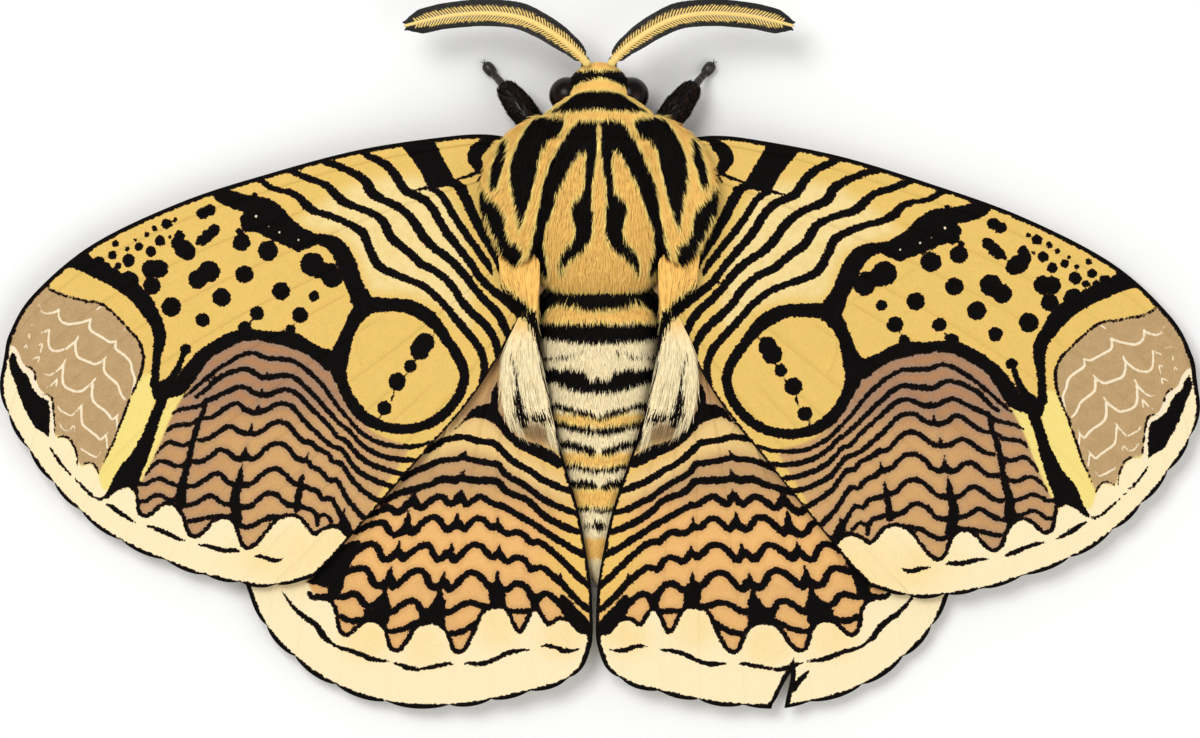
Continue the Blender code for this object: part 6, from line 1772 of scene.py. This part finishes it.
legs = {
    "fore": {"joints": [(5.0, 33.0, 5.6), (9.8, 34.6, 6.4), (14.2, 40.4, 4.6), (16.5, 43.2, 0.55)],
             "thick": (1.3, 2.0, 0.56), "pad": 0.92},
    "mid": {"joints": [(6.6, 24.0, 4.4), (14.4, 25.2, 6.0), (21.6, 25.0, 2.6), (28.4, 24.4, 0.5)],
            "thick": (1.0, 1.0, 0.36), "pad": 0.36},
    "hind": {"joints": [(5.6, 14.0, 4.2), (12.6, 8.6, 5.2), (18.8, 0.2, 2.5), (24.0, -6.2, 0.5)],
             "thick": (1.0, 1.05, 0.36), "pad": 0.36},
}
legShape = {
    "swell": [(0.0, 0.55), (0.12, 0.9), (0.45, 1.0), (0.85, 0.78), (1.0, 0.5)],
    "tarsus": [0.0, 0.4, 0.58, 0.72, 0.86, 1.0], "claw": 0.13,
    "furSpacing": 0.2, "furLength": 0.85, "furWidth": 0.11, "jitter": 0.12, "brown": (0.12, 0.25), "seed": 31,
}


def darkShades(chance, count, brownShare, brown):
    # near-black fur with some browner tufts in it
    shades = {"ink": np.full(count, 2.0), "orange": np.zeros(count), "grey": np.zeros(count)}
    shades["belly"] = brown * (chance.random(count) < brownShare)
    shades["shade"] = chance.random(count)
    return shades


def tipPoint(a, b, share):
    return tuple(np.array(a) * (1 - share) + np.array(b) * share)


def makeClaw(name, base, run, side, radius):
    steps = np.linspace(0.0, 1.0, 7)
    across = unit(np.cross(run, (0.0, 0.0, 1.0))[None])[0] * side
    drop = np.array((0.0, 0.0, 0.2))
    line = [np.array(base) + run * 0.75 * s + across * 0.34 * s - drop * s ** 2 for s in steps]
    return makeTube(name, line, [0.0] + [radius * (1 - 0.8 * s) for s in steps[1:-1]] + [0.0], 6)


def makeLeg(kind, label, horn, furDark):
    side = sides[label]
    hip, knee, ankle, foot = [tuple(np.array(p) * (side, 1, 1)) for p in legs[kind]["joints"]]
    thigh, shin, toe = legs[kind]["thick"]
    upper = []
    for start, end, radius, name in ((hip, knee, thigh, "thigh"), (knee, ankle, shin, "shin")):
        line, radii = limbLine(start, end, radius, legShape["swell"])
        upper.append(makeTube(f"{kind}{name}", line, radii, 14))
    furred = joinForms(f"{kind}leg_{label}", upper)
    roots, facing, chance = scatterRoots(furred, legShape["furSpacing"], legShape["seed"])
    onShin = np.linalg.norm(roots - np.array(knee), axis=1) < np.linalg.norm(roots - np.array(hip), axis=1)
    run = np.where(onShin[:, None], unit((np.array(ankle) - knee)[None]), unit((np.array(knee) - hip)[None]))
    comb = laidOn(facing, run)
    jitter = chance.normal(size=(len(roots), 3)) * legShape["jitter"]
    rise, lie = unit(comb + facing * 0.45 + jitter), unit(comb + facing * 0.05 + jitter)
    lengths = legShape["furLength"] * (0.6 + 0.7 * chance.random(len(roots)))
    shades = darkShades(chance, len(roots), *legShape["brown"])
    uv = np.stack([0.1 + 0.8 * (roots[:, 0] * side) / 30.0, 0.1 + 0.8 * (roots[:, 1] + 10.0) / 56.0], axis=-1)
    coat = makeTufts(f"{kind}legFur_{label}", roots, facing, rise, lie, lengths,
                     np.full(len(roots), legShape["furWidth"]), shades, uv, furDark)
    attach(coat, "root")
    # the tarsus of five joints, its claws and the spurs at the shin's end
    pieces = [furred]
    stops = legShape["tarsus"]
    run = unit((np.array(foot) - ankle)[None])[0]
    for number, (low, high) in enumerate(zip(stops[:-1], stops[1:])):
        start, end = tipPoint(ankle, foot, low), tipPoint(ankle, foot, high)
        line, radii = limbLine(start, end, toe * (1.15 - 0.07 * number),
                               [(0, 0.7), (0.2, 0.8), (0.8, 1.0), (1.0, 0.8)], 8)
        pieces.append(makeTube("tarsus", line, radii, 10))
    level = unit(np.array([[run[0], run[1], 0.0]]))[0]
    padSize = legs[kind]["pad"]
    pad = np.array([foot[0], foot[1], padSize])
    line = [pad + level * s * padSize for s in (-1.6, -1.45, -0.8, 0.0, 0.7, 1.15, 1.3)]
    radii = [share * padSize for share in (0, 0.5, 0.88, 1.0, 0.92, 0.55, 0)]
    pieces.append(makeTube("pad", line, radii, 14))
    for turn in (-1, 1):
        pieces.append(makeClaw("claw", pad + level * padSize * 1.1, level, turn, legShape["claw"]))
    if kind != "fore":
        shinRun = unit((np.array(ankle) - knee)[None])[0]
        for turn in (-1, 1):
            across = unit(np.cross(shinRun, (0, 0, 1.0))[None])[0] * turn
            base = np.array(ankle) - shinRun * 0.6
            line = [base + (shinRun * 1.9 + across * 0.9) * s for s in np.linspace(0, 1, 6)]
            pieces.append(makeTube("spur", line, [0, 0.2, 0.18, 0.14, 0.08, 0], 7))
    leg = joinForms(f"{kind}legHorn_{label}", pieces)
    leg.data.materials.clear()
    leg.data.materials.append(horn)
    mapFaces(leg.data, vertexPlaces(leg.data))
    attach(leg, "root")
    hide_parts(f"{kind}leg_{label}")


feeler = {
    "line": [(1.5, 43.2, 10.4), (3.6, 45.5, 11.6), (7.2, 48.2, 12.2), (11.2, 50.2, 12.0), (16.0, 51.0, 11.4),
             (21.5, 50.8, 10.5), (26.0, 50.0, 9.7), (29.2, 49.2, 9.2)],
    "shaft": (0.5, 0.24), "teeth": 62, "toothRadius": 0.13, "sweep": 1.25, "underDrop": 0.22,
    "reach": [(0, 0.75), (0.06, 1.3), (0.15, 1.75), (0.35, 2.0), (0.6, 2.0), (0.85, 1.85), (0.93, 1.5),
              (0.97, 1.0), (1, 0.8)],
    "narrowing": (0.82, 0.98, 0.5), "toothFullness": [0, 0.9, 1, 1.05, 1.25, 1.3, 0],
}


def makeFeeler(label, material):
    side = sides[label]
    path = smoothPath(feeler["line"])
    share = np.linspace(0.0, 1.0, 90)
    line = placeOn(path, share) * (side, 1, 1)
    thick, thin = feeler["shaft"]
    radii = (thick + (thin - thick) * share) * (1 + 0.06 * np.cos(share * math.tau * 45))
    radii[:6] *= 1.2
    radii[0] = radii[-1] = 0.0
    pieces = [makeTube("shaft", line, radii, 12, 0.7)]
    runs, across, upward = frameAlong(line)
    stops = np.linspace(0.04, 0.975, feeler["teeth"])
    step = stops[1] - stops[0]
    radius = feeler["toothRadius"]
    steps = np.linspace(0.0, 1.0, 7)
    for turn in (-1, 1):
        # there are two rows of teeth, one below the other
        for row, drop in ((0, 0.0), (1, feeler["underDrop"])):
            for stop in stops + row * step / 2:
                k = int(min(stop, 1.0) * 89)
                base = placeOn(path, min(stop, 1.0)) * (side, 1, 1) - upward[k] * drop
                reach = np.interp(stop, *zip(*feeler["reach"]))
                begin, end, loss = feeler["narrowing"]
                narrow = 1 - loss * smoothStep(begin, end, stop)
                out, run, up = across[k] * turn * (0.4 + 0.6 * narrow), runs[k] * narrow, upward[k]
                # each tooth leans forwards and turns along the comb's rim
                tooth = np.array([base + (out * (1 - (1 - s) ** 1.5) + run * feeler["sweep"] * s ** 1.3
                                          - up * 0.12 * s ** 2) * reach for s in steps])
                tube = makeTube("tooth", tooth, [radius * share for share in feeler["toothFullness"]], 6)
                gaps = np.linalg.norm(vertexPlaces(tube.data)[:, None, :] - tooth[None], axis=2)
                away = np.maximum(steps[np.argmin(gaps, axis=1)], smoothStep(0.92, 0.965, stop))
                addValues(tube.data, {"away": away, "under": np.full(len(away), float(row))})
                pieces.append(tube)
    made = joinForms("antenna_" + label + "Comb", pieces)
    mapFaces(made.data, vertexPlaces(made.data))
    made.data.materials.append(material)
    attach(made, "root")
    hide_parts("antenna_" + label)


def makeFeelerMaterial():
    made, tree, shader = newMaterial("feelerHorn")
    place = tree.nodes.new("ShaderNodeTexCoord").outputs["Object"]
    grain = noiseOf(tree, place, 2400.0, 3.0)
    away = mathNode(tree, "ADD", valueOf(tree, "away"), mathNode(tree, "MULTIPLY_ADD", grain, 0.5, -0.25))
    shaft = mixColours(tree, grain, hexColour("E9BF62"), hexColour("F4DA8A"))
    tooth = mixColours(tree, stepNode(tree, away, 0.36, 0.5), shaft, hexColour("0A0604"))
    tooth = mixColours(tree, valueOf(tree, "under"), tooth, hexColour("0C0705"))
    link(tree, tooth, shader.inputs["Base Color"])
    link(tree, stepNode(tree, grain, 0.3, 0.7, 0.4, 0.6), shader.inputs["Roughness"])
    addBump(tree, shader, grain, 0.4, 0.00008)
    return made


def makeHornMaterial():
    made, tree, shader = newMaterial("legHorn")
    place = tree.nodes.new("ShaderNodeTexCoord").outputs["Object"]
    grain = noiseOf(tree, place, 1800.0, 4.0)
    link(tree, mixColours(tree, stepNode(tree, grain, 0.35, 0.7), hexColour("0B0807"), hexColour("2A1A12")),
         shader.inputs["Base Color"])
    link(tree, stepNode(tree, grain, 0.3, 0.7, 0.32, 0.55), shader.inputs["Roughness"])
    addBump(tree, shader, grain, 0.5, 0.0001)
    return made


eyeShape = {"middle": (4.75, 39.0, 7.1), "radius": 2.72, "facets": 5200.0, "roughness": 0.2, "specular": 0.14,
            "bump": 0.5, "bumpDepth": 0.00004}


def makeEyeMaterial():
    # hundreds of small facets under a gloss, a little redder in patches
    made, tree, shader = newMaterial("eyeFacets")
    place = tree.nodes.new("ShaderNodeTexCoord").outputs["Object"]
    facets = tree.nodes.new("ShaderNodeTexVoronoi")
    link(tree, place, facets.inputs["Vector"])
    facets.inputs["Scale"].default_value = eyeShape["facets"]
    facets.inputs["Randomness"].default_value = 0.25
    cloud = noiseOf(tree, place, 500.0, 2.0)
    link(tree, mixColours(tree, stepNode(tree, cloud, 0.35, 0.7), hexColour("060303"), hexColour("1C0D08")),
         shader.inputs["Base Color"])
    shader.inputs["Roughness"].default_value = eyeShape["roughness"]
    shader.inputs["Specular IOR Level"].default_value = eyeShape["specular"]
    addBump(tree, shader, facets.outputs["Distance"], eyeShape["bump"], eyeShape["bumpDepth"], invert=True)
    return made


def makeEye(label, material):
    side = sides[label]
    mx, my, mz = eyeShape["middle"]

    def placed(share, angle):
        polar = share * math.pi
        r = eyeShape["radius"]
        return np.stack([side * (mx + r * np.cos(polar)), my + r * np.sin(polar) * np.cos(angle),
                         mz + r * np.sin(polar) * np.sin(angle)], axis=-1)
    eye = laySphere("eyeBall_" + label, 40, 56, placed)
    mapFaces(eye.data, vertexPlaces(eye.data))
    eye.data.materials.append(material)
    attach(eye, "root")
    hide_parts("eye_" + label)


palp = {"line": [(1.5, 41.6, 4.6), (1.9, 43.4, 5.0), (2.0, 44.3, 6.4), (1.9, 44.3, 7.4)],
        "radii": [(0, 0.7), (0.3, 0.72), (0.6, 0.52), (0.85, 0.3), (1, 0.16)],
        "furSpacing": 0.17, "furLength": 0.55, "furWidth": 0.09, "jitter": 0.12, "brown": (0.3, 0.5),
        "seed": 41}
tongue = {"middle": (41.9, 2.75), "turns": 1.6, "outer": 1.35, "tube": 0.22}


def makePalp(label, horn, furDark):
    side = sides[label]
    path = smoothPath(palp["line"])
    share = np.linspace(0.0, 1.0, 26)
    line = placeOn(path, share) * (side, 1, 1)
    radii = np.interp(share, *zip(*palp["radii"]))
    radii[0] = radii[-1] = 0.0
    skin = makeTube("palpSkin_" + label, line, radii, 14)
    roots, facing, chance = scatterRoots(skin, palp["furSpacing"], palp["seed"])
    nearest = np.argmin(np.linalg.norm(roots[:, None] - line[None], axis=2), axis=1)
    runs = frameAlong(line)[0][nearest]
    comb = laidOn(facing, runs)
    jitter = chance.normal(size=(len(roots), 3)) * palp["jitter"]
    shades = darkShades(chance, len(roots), *palp["brown"])
    lengths = palp["furLength"] * (0.7 + 0.6 * chance.random(len(roots)))
    rise, lie = unit(comb + facing * 0.5 + jitter), unit(comb + jitter)
    coat = makeTufts("palpFur_" + label, roots, facing, rise, lie, lengths,
                     np.full(len(roots), palp["furWidth"]), shades,
                     planMap(roots[:, 0], roots[:, 1], facing[:, 2] > 0), furDark)
    skin.data.materials.append(horn)
    mapFaces(skin.data, vertexPlaces(skin.data))
    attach(skin, "root")
    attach(coat, "root")
    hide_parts("palp_" + label)


def makeTongue(material):
    my, mz = tongue["middle"]
    count = 64
    line = []
    for k in range(count):
        s = k / (count - 1)
        angle = math.pi * 0.55 - s * tongue["turns"] * math.tau
        reach = tongue["outer"] * (1 - 0.62 * s) - tongue["tube"]
        line.append((0.0, my + reach * math.cos(angle), mz + reach * math.sin(angle)))
    line = np.array(line)
    radii = tongue["tube"] * (1 - 0.45 * np.linspace(0, 1, count))
    radii[0] = radii[-1] = 0.0
    runs = unit(np.gradient(line, axis=0))
    across = np.tile([1.0, 0.0, 0.0], (count, 1))
    upward = np.cross(across, runs)

    def placed(share, angle):
        k = np.clip(np.round(share * (count - 1)).astype(int), 0, count - 1)
        spread = across[k] * np.cos(angle)[:, None] * 1.2 + upward[k] * np.sin(angle)[:, None]
        return line[k] + spread * radii[k][:, None]
    made = laySphere("coiledTongue", count - 1, 12, placed)
    mapFaces(made.data, vertexPlaces(made.data))
    addValues(made.data, {key: np.zeros(len(made.data.vertices)) for key in ("away", "under")})
    made.data.materials.append(material)
    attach(made, "root")
    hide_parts("proboscis")


feelerMaterial, hornMaterial, eyeMaterial = makeFeelerMaterial(), makeHornMaterial(), makeEyeMaterial()
for label in sides:
    makeFeeler(label, feelerMaterial)
    makeEye(label, eyeMaterial)
    makePalp(label, hornMaterial, furMaterial)
    for kind in legs:
        makeLeg(kind, label, hornMaterial, furMaterial)
makeTongue(feelerMaterial)
report("limbs, feelers, eyes and mouth")
